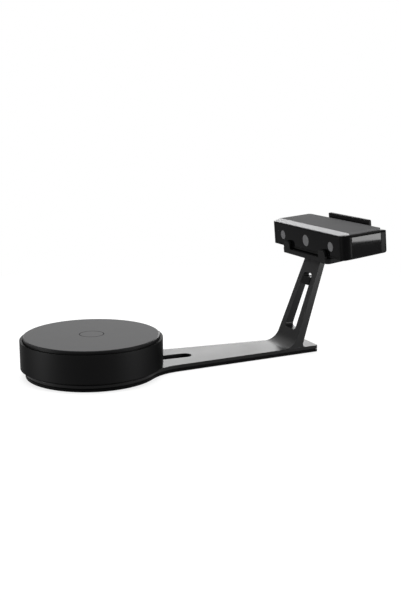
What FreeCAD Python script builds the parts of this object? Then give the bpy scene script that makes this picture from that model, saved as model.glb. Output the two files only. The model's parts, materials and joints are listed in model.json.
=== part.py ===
import FreeCAD, Part
import math
import os
import Sketcher
from types import SimpleNamespace

# Desktop scanner: a turntable on a low base, with a leaning arm that carries the scanner head.
# Millimetres, +Z up, +X from the turntable to the arm, origin below the middle of the whole object.

# Driving dimensions
SIZES = {
    # Base under the turntable
    "deck_margin": 6.9,
    "deck_chamfer": 1.4,
    "foot_height": 1.0,
    "cover_thickness": 5.0,
    "groove_height": 1.2,
    "groove_depth": 2.4,
    "frame_thickness": 5.0,
    "boss_radius": 20.0,
    "boss_height": 1.2,
    "foot_radius": 8.0,
    "foot_inset": 17.1,
    "base_foot_count": 4,
    # Strip from the base to the arm
    "strip_half_width": 46.4,
    "strip_half_width_tail": 28.2,
    "tail_length": 29.5,
    "tail_corner_radius": 3.0,
    "flare_radius": 75.0,
    "channel_half_width": 10.8,
    "channel_end_x": 154.4,
    "channel_start_x": 60.0,
    "post_foot_x": 236.0,
    "post_foot_margin": 3.0,
    # Arm
    "arm_lean": 20.0,
    "arm_x": 314.2,
    "arm_thickness": 14.7,
    "arm_thickness_top": 8.4,
    "arm_narrowing": 5.1,
    "arm_height": 153.0,
    "arm_front_fillet": 25.0,
    "arm_rear_fillet": 5.0,
    "slot_bottom": 25.0,
    "slot_top_margin": 42.0,
    "slot_half_width_bottom": 16.2,
    "slot_half_width_top": 11.8,
    "slot_corner_radius": 5.4,
    "clip_height": 12.0,
    "clip_proud": 1.0,
    "clip_top_gap": 5.5,
    "clip_notch": 8.0,
    # Turntable housing
    "body_radius": 102.0,
    "body_wall": 2.5,
    "body_bottom": 13.4,
    "rim_top": 53.6,
    "rim_depth": 3.6,
    "rim_gap": 1.0,
    "floor_bottom": 11.3,
    "floor_top": 14.3,
    "floor_edge_inset": 6.0,
    "floor_lip_height": 2.2,
    "floor_lip_width": 2.5,
    "turntable_foot_radius": 6.0,
    "turntable_foot_depth": 1.0,
    "turntable_foot_count": 3,
    # Platter
    "platter_margin": 4.7,
    "platter_top": 58.2,
    "mat_thickness": 0.8,
    "mat_margin": 1.6,
    "platter_thickness": 4.4,
    "platter_skirt": 8.4,
    "platter_wall": 2.5,
    "ring_radius": 17.0,
    "ring_width": 0.6,
    "ring_height": 0.05,
    # Thrust bearing under the platter
    "ball_radius": 2.5,
    "ball_circle_radius": 25.5,
    "ball_count": 18,
    "ball_clearance": 0.3,
    "race_half_width": 5.0,
    "race_height": 4.0,
    "race_gap": 1.6,
    "cage_thickness": 1.0,
    "cage_half_width": 3.6,
    "seat_height": 0.6,
    "pedestal_web": 4.0,
    "pedestal_web_z": 30.0,
    "spindle_radius": 4.0,
    "spindle_flange_radius": 14.0,
    "spindle_flange": 3.0,
    "spindle_tail": 5.0,
    "spindle_clearance": 0.05,
    "bush_wall": 2.0,
    "bush_flange": 1.5,
    "clip_ring_thickness": 1.0,
    "clip_ring_radius": 8.0,
    # Drive
    "gear_teeth": 96,
    "pinion_teeth": 16,
    "pressure_angle": 20.0,
    "gear_backlash": 0.3,
    "gear_rim": 10.0,
    "gear_face": 7.0,
    "pinion_face": 7.0,
    "pinion_drop": 1.0,
    "motor_width": 42.3,
    "motor_margin": 8.35,
    "motor_corner": 4.5,
    "motor_height": 25.0,
    "motor_floor_gap": 0.6,
    "motor_pilot_radius": 11.0,
    "motor_shaft_radius": 2.5,
    "motor_shaft_depth": 12.0,
    "bracket_thickness": 2.0,
    "bracket_length": 40.0,
    "bracket_foot": 9.0,
    "bracket_gap": 3.0,
    # Turntable electronics
    "table_board_length": 50.0,
    "table_board_width": 30.0,
    "board_edge_gap": 12.5,
    "board_thickness": 1.6,
    "board_lift": 5.0,
    "standoff_radius": 3.0,
    "port_width": 14.0,
    "port_height": 12.0,
    "port_depth": 16.0,
    "port_wall": 1.2,
    # Scanner head
    "head_overhang": 20.29,
    "head_drop": 8.0,
    "head_tilt": 5.25,
    "head_rise_angle": 2.26,
    "head_width": 220.0,
    "head_depth": 75.7,
    "head_height": 38.9,
    "head_front_radius": 12.0,
    "head_corner_radius": 4.5,
    "head_edge_radius": 4.0,
    "head_rear_radius": 3.5,
    "head_underside_radius": 6.5,
    "head_wall": 2.4,
    "seam_gap": 0.3,
    "lid_rise": 2.5,
    "lid_thickness": 3.6,
    "lid_skin": 2.0,
    "lid_front_margin": 1.4,
    "lid_side_margin": 6.0,
    "lid_rear_margin": 5.0,
    "lid_front_radius": 11.0,
    "lid_rear_radius": 6.0,
    "lid_overlap": 3.0,
    "shelf_thickness": 2.0,
    "bevel_drop": 2.3,
    "bevel_depth": 14.0,
    "panel_depth": 14.4,
    "rear_depth": 11.0,
    "plate_side_margin": 14.0,
    "plate_bottom": 3.0,
    "plate_top_margin": 2.3,
    "plate_thickness": 1.2,
    "plate_recess": 0.2,
    "plate_gap": 0.4,
    "plate_corner_radius": 3.5,
    "window_radius": 7.25,
    "projector_window_radius": 9.0,
    "window_ledge": 1.0,
    "window_recess": 0.2,
    "window_clearance": 0.1,
    "window_margin": 37.5,
    "window_height": 17.0,
    "head_post_radius": 3.5,
    # Optics
    "rail_front": 16.0,
    "rail_thickness": 3.0,
    "rail_side_gap": 11.0,
    "rail_bottom": 4.5,
    "rail_top_gap": 2.0,
    "rail_flange_end": 45.0,
    "rail_flange": 2.0,
    "rail_hole_gap": 2.0,
    "camera_toe_in": 11.0,
    "barrel_front": 4.0,
    "camera_barrel_radius": 6.5,
    "camera_barrel_length": 18.5,
    "barrel_wall": 1.2,
    "camera_body_width": 20.0,
    "camera_board_width": 28.0,
    "camera_body_depth": 10.0,
    "lens_thickness": 2.5,
    "lens_recess": 1.0,
    "projector_barrel_radius": 8.5,
    "projector_body_width": 34.0,
    "heat_sink_gap": 4.8,
    "projector_body_height": 23.0,
    "heat_sink_length": 12.0,
    "heat_sink_base": 2.5,
    "heat_sink_fin": 1.5,
    "heat_sink_fin_count": 8,
    # Head electronics and button
    "socket_recess": 0.2,
    "board_side_gap": 10.0,
    "main_board_bottom": 7.0,
    "main_board_height": 24.0,
    "socket_depth": 10.5,
    "usb_width": 12.0,
    "usb_height": 11.0,
    "usb_inset": 40.0,
    "power_width": 9.0,
    "power_height": 11.0,
    "power_inset": 22.0,
    "power_bore_radius": 3.2,
    "power_pin_radius": 1.0,
    "socket_wall": 0.8,
    "socket_clearance": 0.3,
    "button_radius": 4.0,
    "button_inset": 30.0,
    "button_proud": 1.0,
    "button_flange": 1.2,
    "button_flange_thickness": 1.0,
    "button_clearance": 0.1,
    "button_travel": 1.0,
    "button_plunger_radius": 2.0,
    "switch_width": 6.0,
    "switch_depth": 2.6,
    # Cradle
    "cradle_front": 4.6,
    "head_rear_gap": 5.0,
    "cradle_side_inset": 40.4,
    "cradle_underside": 9.8,
    "cradle_floor_top": 2.5,
    "cradle_corner_radius": 7.0,
    "lug_inset": 56.5,
    "lug_half_width": 9.6,
    "lug_top": 10.0,
    "lug_thickness": 4.0,
    "lug_corner_radius": 6.0,
    "rear_wall_inset": 52.0,
    "rear_wall_rise": 2.0,
    "rear_wall_thickness": 4.0,
    "rear_wall_corner_radius": 2.0,
    "pad_clearance": 0.3,
    "pad_width": 14.0,
    "pad_end_margin": 7.6,
    "bumper_width": 18.0,
    "bumper_height": 12.0,
    # Fasteners
    "screw_radius": 1.5,
    "screw_head_radius": 2.8,
    "screw_head_height": 1.6,
    "screw_length": 8.0,
    "screw_clearance": 0.05,
    "cradle_screw_length": 16.0,
    "cradle_screw_y": 13.0,
    "overrun": 2.0,
}

doc = FreeCAD.newDocument("Scanner")
sheet = doc.addObject("Spreadsheet::Sheet", "Sizes")
for row, (alias, number) in enumerate(SIZES.items(), start=1):
    cell = "A" + str(row)
    sheet.set(cell, str(number))
    sheet.setAlias(cell, alias)
doc.recompute()


class Size:
    """A number that keeps the sheet formula it comes from."""

    def __init__(self, value, text):
        self.value = value
        self.text = text

    def join(self, sign, other, value):
        return Size(value, "(" + self.text + " " + sign + " " + size(other).text + ")")

    def __add__(self, other):
        return self.join("+", other, self.value + size(other).value)

    def __sub__(self, other):
        return self.join("-", other, self.value - size(other).value)

    def __mul__(self, other):
        return self.join("*", other, self.value * size(other).value)

    def __truediv__(self, other):
        return self.join("/", other, self.value / size(other).value)

    def __rsub__(self, other):
        return size(other) - self

    def __neg__(self):
        return size(0) - self

    __radd__ = __add__
    __rmul__ = __mul__


def size(number):
    """A Size as it is, or a plain number as a Size."""
    return number if isinstance(number, Size) else Size(float(number), str(number))


def sine(angle):
    return Size(math.sin(math.radians(angle.value)), "sin(" + angle.text + ")")


def cosine(angle):
    return Size(math.cos(math.radians(angle.value)), "cos(" + angle.text + ")")


def tangent(angle):
    return Size(math.tan(math.radians(angle.value)), "tan(" + angle.text + ")")


s = SimpleNamespace(**{alias: Size(number, "Sizes." + alias) for alias, number in SIZES.items()})

UP = FreeCAD.Vector(0, 0, 1)
ALONG_X = FreeCAD.Vector(1, 0, 0)
ALONG_Y = FreeCAD.Vector(0, 1, 0)


def vector(x, y, z):
    return FreeCAD.Vector(size(x).value, size(y).value, size(z).value)


def place(x=0, y=0, z=0, axis=UP, angle=0):
    """Placement at a point, turned about an axis by an angle in degrees."""
    return FreeCAD.Placement(vector(x, y, z), FreeCAD.Rotation(axis, size(angle).value))


# Heights and places that several pieces share
deck_bottom = s.foot_height + s.cover_thickness
deck_top = deck_bottom + s.frame_thickness
deck_radius = s.body_radius - s.deck_margin
foot_circle_radius = deck_radius - s.foot_inset
tail_x = s.arm_x + s.arm_thickness + s.tail_length
slot_top = s.arm_height - s.slot_top_margin
strip_slope = (s.strip_half_width - s.strip_half_width_tail) / (tail_x - s.body_radius)
head_z = deck_top + s.arm_height - s.head_drop
head_x = s.arm_x + s.arm_height * tangent(s.arm_lean) - s.head_overhang
cradle_tilt = s.head_tilt + s.head_rise_angle
cradle_end = s.head_depth + s.head_rear_gap + s.rear_wall_thickness
cradle_length = s.cradle_front + cradle_end
object_end_x = head_x + cradle_end * cosine(cradle_tilt) + s.cradle_underside * sine(cradle_tilt)
middle_x = (object_end_x - s.body_radius) / 2
platter_radius = s.body_radius - s.platter_margin
platter_bottom = s.platter_top - s.mat_thickness - s.platter_thickness
seat_bottom = platter_bottom - s.seat_height
race_top = seat_bottom - s.race_height
ball_z = race_top - s.race_gap / 2
lower_race_top = race_top - s.race_gap
pedestal_top = lower_race_top - s.race_height
pedestal_radius = s.ball_circle_radius + s.race_half_width
pedestal_bore_radius = s.ball_circle_radius - s.race_half_width
motor_reach = s.body_radius - s.body_wall - s.motor_margin - s.motor_width / 2
gear_module = motor_reach * 2 / (s.gear_teeth + s.pinion_teeth)
gear_radius = gear_module * s.gear_teeth / 2
gear_bore_radius = gear_radius - s.gear_rim
motor_x = -motor_reach
motor_bottom = s.floor_top + s.motor_floor_gap
motor_top = motor_bottom + s.motor_height
floor_edge_radius = s.body_radius - s.floor_edge_inset
table_board_y = s.body_radius - s.body_wall - s.board_edge_gap - s.table_board_width
platter_screw_top = platter_bottom + s.platter_thickness / 2
bracket_screw_z = s.floor_top + s.bracket_thickness + s.screw_head_height
bracket_screw_length = bracket_screw_z - s.floor_bottom - s.screw_head_height / 2

# Heights and places in the head
head_top = s.head_height - s.lid_rise
lid_bottom = s.head_height - s.lid_thickness
lid_half = s.head_width / 2 - s.lid_side_margin
lid_end = s.head_depth - s.lid_rear_margin
shelf_top = lid_bottom - s.seam_gap
shelf_bottom = shelf_top - s.shelf_thickness
inner_rear = s.head_depth - s.head_wall
rise_slope = tangent(s.head_rise_angle)
plate_half = s.head_width / 2 - s.plate_side_margin
plate_top = head_top - s.plate_top_margin
plate_seat = s.plate_recess + s.plate_thickness
window_spacing = s.head_width / 2 - s.window_margin
rail_half_length = s.head_width / 2 - s.rail_side_gap
rail_top = shelf_bottom - s.rail_top_gap
board_half_length = s.head_width / 2 - s.board_side_gap
main_board_u = s.head_depth - s.socket_recess - s.socket_depth - s.board_thickness
usb_y = s.head_width / 2 - s.usb_inset
power_y = s.head_width / 2 - s.power_inset
button_y = s.head_width / 2 - s.button_inset
cradle_half_width = s.head_width / 2 - s.cradle_side_inset
lug_y = s.head_width / 2 - s.lug_inset
rear_wall_half_width = s.head_width / 2 - s.rear_wall_inset
rear_wall_top = s.head_height + s.rear_wall_rise
projector_start = s.rail_front + s.rail_thickness + s.spindle_clearance
sink_start = main_board_u - s.heat_sink_gap - s.heat_sink_length
projector_body_length = sink_start - s.spindle_clearance - projector_start


def strip_half(x):
    """Half width of the strip at a distance from the turntable's axis."""
    return s.strip_half_width - (x - s.body_radius) * strip_slope


# Frames: the base, the arm's foot, the head and the cradle
BASE = place(-middle_x, 0, 0)
HEAD = place(head_x - middle_x, 0, head_z, ALONG_Y, -s.head_tilt)
CRADLE = place(head_x - middle_x, 0, head_z, ALONG_Y, -cradle_tilt)
NODES = []


# Document helpers
def feature(kind, name, **links):
    """A document object with plain properties or sizes bound to the sheet."""
    item = doc.addObject(kind, name)
    for key, value in links.items():
        assign(item, key, value)
    return item


def assign(item, key, value):
    if isinstance(value, Size):
        whole = isinstance(getattr(item, key), int) and not isinstance(getattr(item, key), bool)
        setattr(item, key, int(value.value) if whole else value.value)
        item.setExpression(key, value.text)
    else:
        setattr(item, key, value)


def box(length, width, height, corner=(0, 0, 0), centred=False, frame=None):
    """A box from its lowest corner, or centred on Y there."""
    x, y, z = corner
    if centred:
        y = y - size(width) / 2
    item = feature("Part::Box", "block", Length=size(length), Width=size(width), Height=size(height))
    item.Placement = (frame or place()).multiply(place(x, y, z))
    return item


def cylinder(radius, height, base=(0, 0, 0), axis=UP, angle=0, frame=None):
    item = feature("Part::Cylinder", "round", Radius=size(radius), Height=size(height))
    item.Placement = (frame or place()).multiply(place(*base, axis, angle))
    return item


def cone(radius, end_radius, height, base=(0, 0, 0), axis=UP, angle=0, frame=None):
    item = feature("Part::Cone", "taper", Radius1=size(radius), Radius2=size(end_radius),
                   Height=size(height))
    item.Placement = (frame or place()).multiply(place(*base, axis, angle))
    return item


def fuse(*items):
    return feature("Part::MultiFuse", "joined", Shapes=list(items)) if len(items) > 1 else items[0]


def cut(base, *tools):
    return feature("Part::Cut", "trimmed", Base=base, Tool=fuse(*tools))


def common(base, tool):
    return feature("Part::Common", "shared", Base=base, Tool=tool)


def group(items):
    return feature("Part::Compound", "set", Links=list(items))


def node(item, name, frame=BASE):
    """Names a finished piece and sets it in its frame."""
    item.Label = name
    item.Placement = frame.multiply(item.Placement)
    NODES.append(item)
    return item


def sharp_edges(item, wanted):
    """Numbers of the edges of an object that a test picks."""
    doc.recompute()
    return [number for number, edge in enumerate(item.Shape.Edges, start=1) if wanted(edge)]


def runs_along(edge, axis):
    """True for a straight edge along an axis."""
    if len(edge.Vertexes) < 2 or not isinstance(edge.Curve, Part.Line):
        return False
    return abs(edge.tangentAt(edge.FirstParameter).dot(axis)) > 1 - 1e-6


def rounded(item, radius, wanted):
    """Part fillet of the edges that a test picks."""
    numbers = sharp_edges(item, wanted)
    smooth = feature("Part::Fillet", "smooth", Base=item)
    smooth.Edges = [(number, radius.value, radius.value) for number in numbers]
    return smooth


# Sketch helpers
def new_body(name):
    return doc.addObject("PartDesign::Body", name)


def new_sketch(body, role, offset=size(0)):
    """A sketch on one of a body's own origin planes."""
    drawing = body.newObject("Sketcher::SketchObject", "outline")
    support = [item for item in body.Origin.OriginFeatures if item.Role == role][0]
    drawing.AttachmentSupport = [(support, "")]
    drawing.MapMode = "FlatFace"
    drawing.AttachmentOffset = place(0, 0, offset)
    drawing.setExpression("AttachmentOffset.Base.z", offset.text)
    return drawing


def hold(drawing, kind, geometry, point, value):
    """Fixes one coordinate of a point to its size."""
    value = size(value)
    number = drawing.addConstraint(Sketcher.Constraint(kind, -1, 1, geometry, point, value.value))
    drawing.setExpression("Constraints[" + str(number) + "]", value.text)


def draw_polygon(drawing, points):
    """A closed chain of lines, each corner held by its two coordinates."""
    first = drawing.GeometryCount
    count = len(points)
    corners = [vector(x, y, 0) for x, y in points]
    for index in range(count):
        drawing.addGeometry(Part.LineSegment(corners[index], corners[(index + 1) % count]))
    for index, (x, y) in enumerate(points):
        after = first + (index + 1) % count
        drawing.addConstraint(Sketcher.Constraint("Coincident", first + index, 2, after, 1))
        hold(drawing, "DistanceX", first + index, 1, x)
        hold(drawing, "DistanceY", first + index, 1, y)


def draw_circle(drawing, radius, x=0, y=0):
    number = drawing.addGeometry(Part.Circle(vector(x, y, 0), UP, size(radius).value))
    hold(drawing, "DistanceX", number, 3, x)
    hold(drawing, "DistanceY", number, 3, y)
    held = drawing.addConstraint(Sketcher.Constraint("Radius", number, size(radius).value))
    drawing.setExpression("Constraints[" + str(held) + "]", size(radius).text)


def add(body, kind, drawing, **links):
    """A sketch feature of a body; the body's new shape is worked out at once."""
    item = body.newObject("PartDesign::" + kind, "step")
    item.Profile = drawing
    for key, value in links.items():
        assign(item, key, value)
    body.Tip = item
    doc.recompute()
    return item


def pad_polygon(body, role, points, length, offset=size(0), **links):
    drawing = new_sketch(body, role, offset)
    draw_polygon(drawing, points)
    return add(body, "Pad", drawing, Length=size(length), **links)


def pocket_polygon(body, role, points, length, offset=size(0), **links):
    drawing = new_sketch(body, role, offset)
    draw_polygon(drawing, points)
    return carve(body, "Pocket", drawing, Length=size(length), **links)


def carve(body, kind, drawing, **links):
    """A cut that must take material away."""
    before = body.Shape.Volume
    item = add(body, kind, drawing, **links)
    if body.Shape.Volume >= before - 1e-6:
        raise ValueError("a cut in " + body.Label + " removed nothing")
    return item


def turned(body, points):
    """A solid of revolution about +Z from radius and height pairs."""
    drawing = new_sketch(body, "XZ_Plane")
    draw_polygon(drawing, points)
    return add(body, "Revolution", drawing, ReferenceAxis=(drawing, ["V_Axis"]), Angle=360)


def soften(body, kind, value, wanted):
    """A fillet or chamfer on the edges of a body's last shape that a test picks."""
    last = body.Tip
    names = ["Edge" + str(number) for number in sharp_edges(last, wanted)]
    item = body.newObject("PartDesign::" + kind, "edges")
    item.Base = (last, names)
    assign(item, "Radius" if kind == "Fillet" else "Size", value)
    body.Tip = item
    doc.recompute()
    return item


def turned_piece(name, points, frame=BASE):
    body = new_body(name)
    turned(body, points)
    return node(body, name, frame)


def ring_points(inner, outer, bottom, top):
    return [(inner, bottom), (outer, bottom), (outer, top), (inner, top)]


def circle_places(count, radius, first_angle=0):
    """Evenly spaced points on a circle, as x, y and the angle."""
    for index in range(int(count.value)):
        angle = math.radians(first_angle + 360 * index / count.value)
        yield radius * size(math.cos(angle)), radius * size(math.sin(angle)), math.degrees(angle)


# Base: round deck, flare and strip, in two layers
def base_layer(body, bottom, thickness, inset):
    """Outline of the base: disc, tapering strip and the concave flare between them."""
    disc = new_sketch(body, "XY_Plane", bottom)
    draw_circle(disc, deck_radius - inset)
    add(body, "Pad", disc, Length=thickness)
    start = size(0)
    tail = tail_x - inset
    corners = [(start, inset - strip_half(start)), (tail, inset - strip_half(tail)),
               (tail, strip_half(tail) - inset), (start, strip_half(start) - inset)]
    pad_polygon(body, "XY_Plane", corners, thickness, bottom)
    soften(body, "Fillet", s.flare_radius + inset,
           lambda edge: runs_along(edge, UP) and edge.Vertexes[0].X < deck_radius.value)
    soften(body, "Fillet", s.tail_corner_radius - inset,
           lambda edge: runs_along(edge, UP) and edge.Vertexes[0].X > tail.value - s.overrun.value)


def base_screw_places():
    """Screws that join the two layers of the base."""
    far_x = tail_x - s.screw_head_radius * 3
    near_x = s.channel_end_x + s.channel_half_width
    for x, half in ((far_x, strip_half(far_x) / 2), (near_x, strip_half(near_x) / 2)):
        for side in (-1, 1):
            yield x, half * side
    for x, y, angle in circle_places(size(4), foot_circle_radius - s.foot_radius, 45):
        yield x, y


def stand_frame():
    """Deck, strip and arm in one casting, with the lead's slot and the screw holes."""
    deck = new_body("deck")
    base_layer(deck, deck_bottom, s.frame_thickness, size(0))
    boss = cylinder(s.boss_radius, s.boss_height + s.frame_thickness / 2,
                    (0, 0, deck_top - s.frame_thickness / 2))
    half = s.channel_half_width
    bottom, height = deck_bottom - s.overrun / 2, s.frame_thickness + s.overrun
    channel = box(s.channel_end_x - half - s.channel_start_x, half * 2, height,
                  (s.channel_start_x, 0, bottom), centred=True)
    tools = [channel, cylinder(half, height, (s.channel_end_x - half, 0, bottom)), rim_cutter(), arm_slot()]
    for x, y in base_screw_places():
        tools.append(cylinder(s.screw_radius + s.screw_clearance, height * 0.6, (x, y, bottom)))
    for side in (-1, 1):
        tools.append(cylinder(s.screw_radius + s.screw_clearance, s.cradle_screw_length + s.overrun,
                              (0, 0, -s.cradle_floor_top), frame=arm_seat(side)))
    return cut(fuse(deck, boss, arm()), *tools)


def rim_cutter():
    """Takes the chamfer off the deck's round edge, as far as the flare."""
    ring = new_body("rim_cutter")
    low, over = s.deck_chamfer, s.overrun
    turned(ring, [(deck_radius - low, deck_top), (deck_radius + over, deck_top - low - over),
                  (deck_radius + over, deck_top + over), (deck_radius - low, deck_top + over)])
    reach = deck_radius + over * 2
    flare_start = deck_radius * cosine(size(45))
    return common(ring, box(reach + flare_start, reach * 2, s.frame_thickness * 4,
                            (-reach, 0, deck_bottom), centred=True))


def on_underside(start_x, slope):
    """Point where a leaning line from the strip's top meets the cradle's underside."""
    rise = tangent(cradle_tilt)
    low_x = head_x + s.cradle_underside * sine(cradle_tilt)
    low_z = head_z - s.cradle_underside * cosine(cradle_tilt)
    z = (low_z + (start_x - deck_top * slope - low_x) * rise) / (1 - slope * rise)
    return start_x + (z - deck_top) * slope, z


def arm():
    """Side profile with its foot fillets, trimmed by two planes flush with the strip's sides."""
    lean = tangent(s.arm_lean)
    thinning = (s.arm_thickness - s.arm_thickness_top) / s.arm_height
    front, rear = s.arm_x, s.arm_x + s.arm_thickness
    start, end = front - s.arm_front_fillet, rear + s.arm_rear_fillet * 2
    profile = new_body("arm_profile")
    pad_polygon(profile, "XZ_Plane", [(start, deck_bottom), (end, deck_bottom),
                                      (end, deck_top), (rear, deck_top),
                                      on_underside(rear, lean - thinning), on_underside(front, lean),
                                      (front, deck_top), (start, deck_top)],
                s.strip_half_width * 3, Midplane=True)
    soften(profile, "Fillet", s.arm_front_fillet, lambda edge: foot_edge(edge, front))
    soften(profile, "Fillet", s.arm_rear_fillet, lambda edge: foot_edge(edge, rear))
    sides = new_body("arm_sides")
    sections = []
    for height, narrowing in ((deck_bottom, size(0)), (deck_top + s.arm_height, s.arm_narrowing)):
        far = rear + s.arm_height
        drawing = new_sketch(sides, "XY_Plane", height)
        draw_polygon(drawing, [(start, narrowing - strip_half(start)), (far, narrowing - strip_half(far)),
                               (far, strip_half(far) - narrowing), (start, strip_half(start) - narrowing)])
        sections.append(drawing)
    add(sides, "AdditiveLoft", sections[0], Sections=[sections[1]], Ruled=True)
    return common(profile, sides)


def arm_slot():
    """The long rounded slot through the arm."""
    slot = new_body("arm_slot")
    low_z, high_z = deck_top + s.slot_bottom, deck_top + slot_top
    pad_polygon(slot, "YZ_Plane", [(-s.slot_half_width_bottom, low_z), (s.slot_half_width_bottom, low_z),
                                   (s.slot_half_width_top, high_z), (-s.slot_half_width_top, high_z)],
                s.arm_height, s.arm_x - s.arm_front_fillet)
    soften(slot, "Fillet", s.slot_corner_radius, lambda edge: runs_along(edge, ALONG_X))
    return slot


def foot_edge(edge, x):
    """The edge across the strip's top at the arm's foot."""
    if not runs_along(edge, ALONG_Y):
        return False
    point = edge.Vertexes[0].Point
    return abs(point.x - x.value) < 1e-3 and abs(point.z - deck_top.value) < 1e-3


def base_cover():
    """Lower layer: full outline below, drawn in at the groove, with a channel for the lead."""
    body = new_body("cover_blank")
    base_layer(body, s.foot_height, s.cover_thickness - s.groove_height, size(0))
    neck = new_body("cover_neck")
    base_layer(neck, deck_bottom - s.groove_height, s.groove_height, s.groove_depth)
    half = s.channel_half_width
    channel = box(s.arm_x - s.channel_start_x, half * 2, s.cover_thickness / 2 + s.overrun,
                  (s.channel_start_x, 0, deck_bottom - s.cover_thickness / 2), centred=True)
    tools = [channel]
    for x, y in base_screw_places():
        tools.append(cylinder(s.screw_radius + s.screw_clearance, s.cover_thickness + s.overrun,
                              (x, y, s.foot_height - s.overrun / 2)))
        tools.append(cylinder(s.screw_head_radius + s.screw_clearance, s.screw_head_height,
                              (x, y, s.foot_height)))
    return cut(fuse(body, neck), *tools)


def base_screws():
    screws = []
    for x, y in base_screw_places():
        screws.append(screw(x, y, s.foot_height, s.cover_thickness + s.frame_thickness / 2))
    return group(screws)


def screw(x, y, z, length, frame=None, axis=UP, angle=0):
    """A screw from its head's outer face, pointing along +Z of its frame."""
    seat = (frame or place()).multiply(place(x, y, z, axis, angle))
    head = cylinder(s.screw_head_radius, s.screw_head_height, frame=seat)
    shank = cylinder(s.screw_radius, length, frame=seat)
    return fuse(head, shank)


def feet():
    return group([cylinder(s.foot_radius, s.foot_height, (x, y, 0))
                  for x, y, angle in circle_places(s.base_foot_count, foot_circle_radius)])


def post_foot():
    body = new_body("post_foot_blank")
    margin = s.post_foot_margin
    start, end = s.post_foot_x, tail_x - margin
    pad_polygon(body, "XY_Plane", [(start, margin - strip_half(start)), (end, margin - strip_half(end)),
                                   (end, strip_half(end) - margin), (start, strip_half(start) - margin)],
                s.foot_height)
    soften(body, "Fillet", s.tail_corner_radius - margin / 2, lambda edge: runs_along(edge, UP))
    return body


def cable_clip():
    """Snap-in bridge near the slot's upper end, notched for a lead."""
    top = deck_top + slot_top - s.clip_top_gap
    slope = (s.slot_half_width_bottom - s.slot_half_width_top) / (slot_top - s.slot_bottom)
    lean = tangent(s.arm_lean)
    body = new_body("cable_clip_blank")
    bottom = top - s.clip_height

    def half(height):
        return s.slot_half_width_top + (deck_top + slot_top - height) * slope - s.screw_clearance

    thinning = (s.arm_thickness - s.arm_thickness_top) / s.arm_height
    depth = s.arm_thickness - (top - deck_top) * thinning
    sections = []
    for height in (bottom, top):
        front = s.arm_x + (height - deck_top) * lean - s.clip_proud
        rear = front + depth + s.clip_proud
        drawing = new_sketch(body, "XY_Plane", height)
        draw_polygon(drawing, [(front, -half(height)), (rear, -half(height)),
                               (rear, half(height)), (front, half(height))])
        sections.append(drawing)
    add(body, "AdditiveLoft", sections[0], Sections=[sections[1]], Ruled=True)
    notch_x = s.arm_x + (top - deck_top) * lean + depth / 2
    notch = new_sketch(body, "XY_Plane", top + s.overrun)
    notch_start, notch_half = notch_x - s.clip_height / 2, s.clip_notch / 2
    draw_polygon(notch, [(notch_start, -notch_half), (notch_x + depth, -notch_half),
                         (notch_x + depth, notch_half), (notch_start, notch_half)])
    carve(body, "Pocket", notch, Length=s.clip_height + s.overrun * 2)
    return body


# Cradle that the head stands in, in its own frame: x to the rear, z square to its floor
def head_cradle():
    front, low = -s.cradle_front, -s.cradle_underside
    floor = box(cradle_length, cradle_half_width * 2, s.cradle_underside - s.cradle_floor_top,
                (front, 0, low), centred=True)
    floor = rounded(floor, s.cradle_corner_radius,
                    lambda edge: runs_along(edge, UP) and edge.Vertexes[0].X < 0)
    wall = box(s.rear_wall_thickness, rear_wall_half_width * 2, rear_wall_top - low,
               (cradle_end - s.rear_wall_thickness, 0, low), centred=True)
    wall = rounded(wall, s.rear_wall_corner_radius,
                   lambda edge: runs_along(edge, ALONG_X) and edge.Vertexes[0].Z > 0)
    lugs = []
    for side in (-1, 1):
        lug = box(s.lug_thickness, s.lug_half_width * 2, s.lug_top - low,
                  (front, lug_y * side, low), centred=True)
        lugs.append(rounded(lug, s.lug_corner_radius,
                            lambda edge: runs_along(edge, ALONG_X) and edge.Vertexes[0].Z > 0))
    tray = fuse(floor, wall, *lugs)
    holes = []
    for side in (-1, 1):
        holes.append(cradle_screw_hole(s.cradle_screw_y * side, s.screw_clearance))
    return cut(tray, *holes)


def arm_top_u():
    """Distance along the cradle's underside to the middle of the arm's top."""
    lean = s.arm_lean
    cos, sin = cosine(cradle_tilt), sine(cradle_tilt)
    thinning = (s.arm_thickness - s.arm_thickness_top) / s.arm_height
    slope = tangent(lean) - thinning / 2
    start_x = s.arm_x + s.arm_thickness / 2 - deck_top * slope
    low_x, low_z = head_x + s.cradle_underside * sin, head_z - s.cradle_underside * cos
    return (start_x + low_z * slope - low_x) / (cos - slope * sin)


def cradle_screw_frame(y):
    """Along the arm, from the middle of the cradle's floor down into the arm's top."""
    down = 180 + (s.arm_lean + cradle_tilt).value
    return place(arm_top_u(), y, -s.cradle_underside, ALONG_Y, down)


def cradle_screw_hole(y, gap):
    seat = cradle_screw_frame(y)
    reach = s.cradle_underside - s.cradle_floor_top
    shank = cylinder(s.screw_radius + gap, s.cradle_screw_length + s.overrun, (0, 0, -reach), frame=seat)
    sink = cylinder(s.screw_head_radius + gap, reach * 3, (0, 0, -reach * 3.5), frame=seat)
    return fuse(shank, sink)


def cradle_screws():
    """Two screws along the arm, sunk in the cradle's floor."""
    reach = s.cradle_underside - s.cradle_floor_top
    screws = []
    for side in (-1, 1):
        seat = cradle_screw_frame(s.cradle_screw_y * side)
        head = cylinder(s.screw_head_radius, s.screw_head_height,
                        (0, 0, -reach / 2 - s.screw_head_height), frame=seat)
        shank = cylinder(s.screw_radius, s.cradle_screw_length - s.screw_head_height,
                         (0, 0, -reach / 2 - s.screw_head_height), frame=seat)
        screws.append(fuse(head, shank))
    return group(screws)


def cradle_pads():
    start = s.pad_end_margin
    height = s.cradle_floor_top - s.pad_clearance
    return group([box(s.head_depth - start * 2, s.pad_width, height,
                      (start, lug_y * side, -s.cradle_floor_top), centred=True) for side in (-1, 1)])


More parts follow.
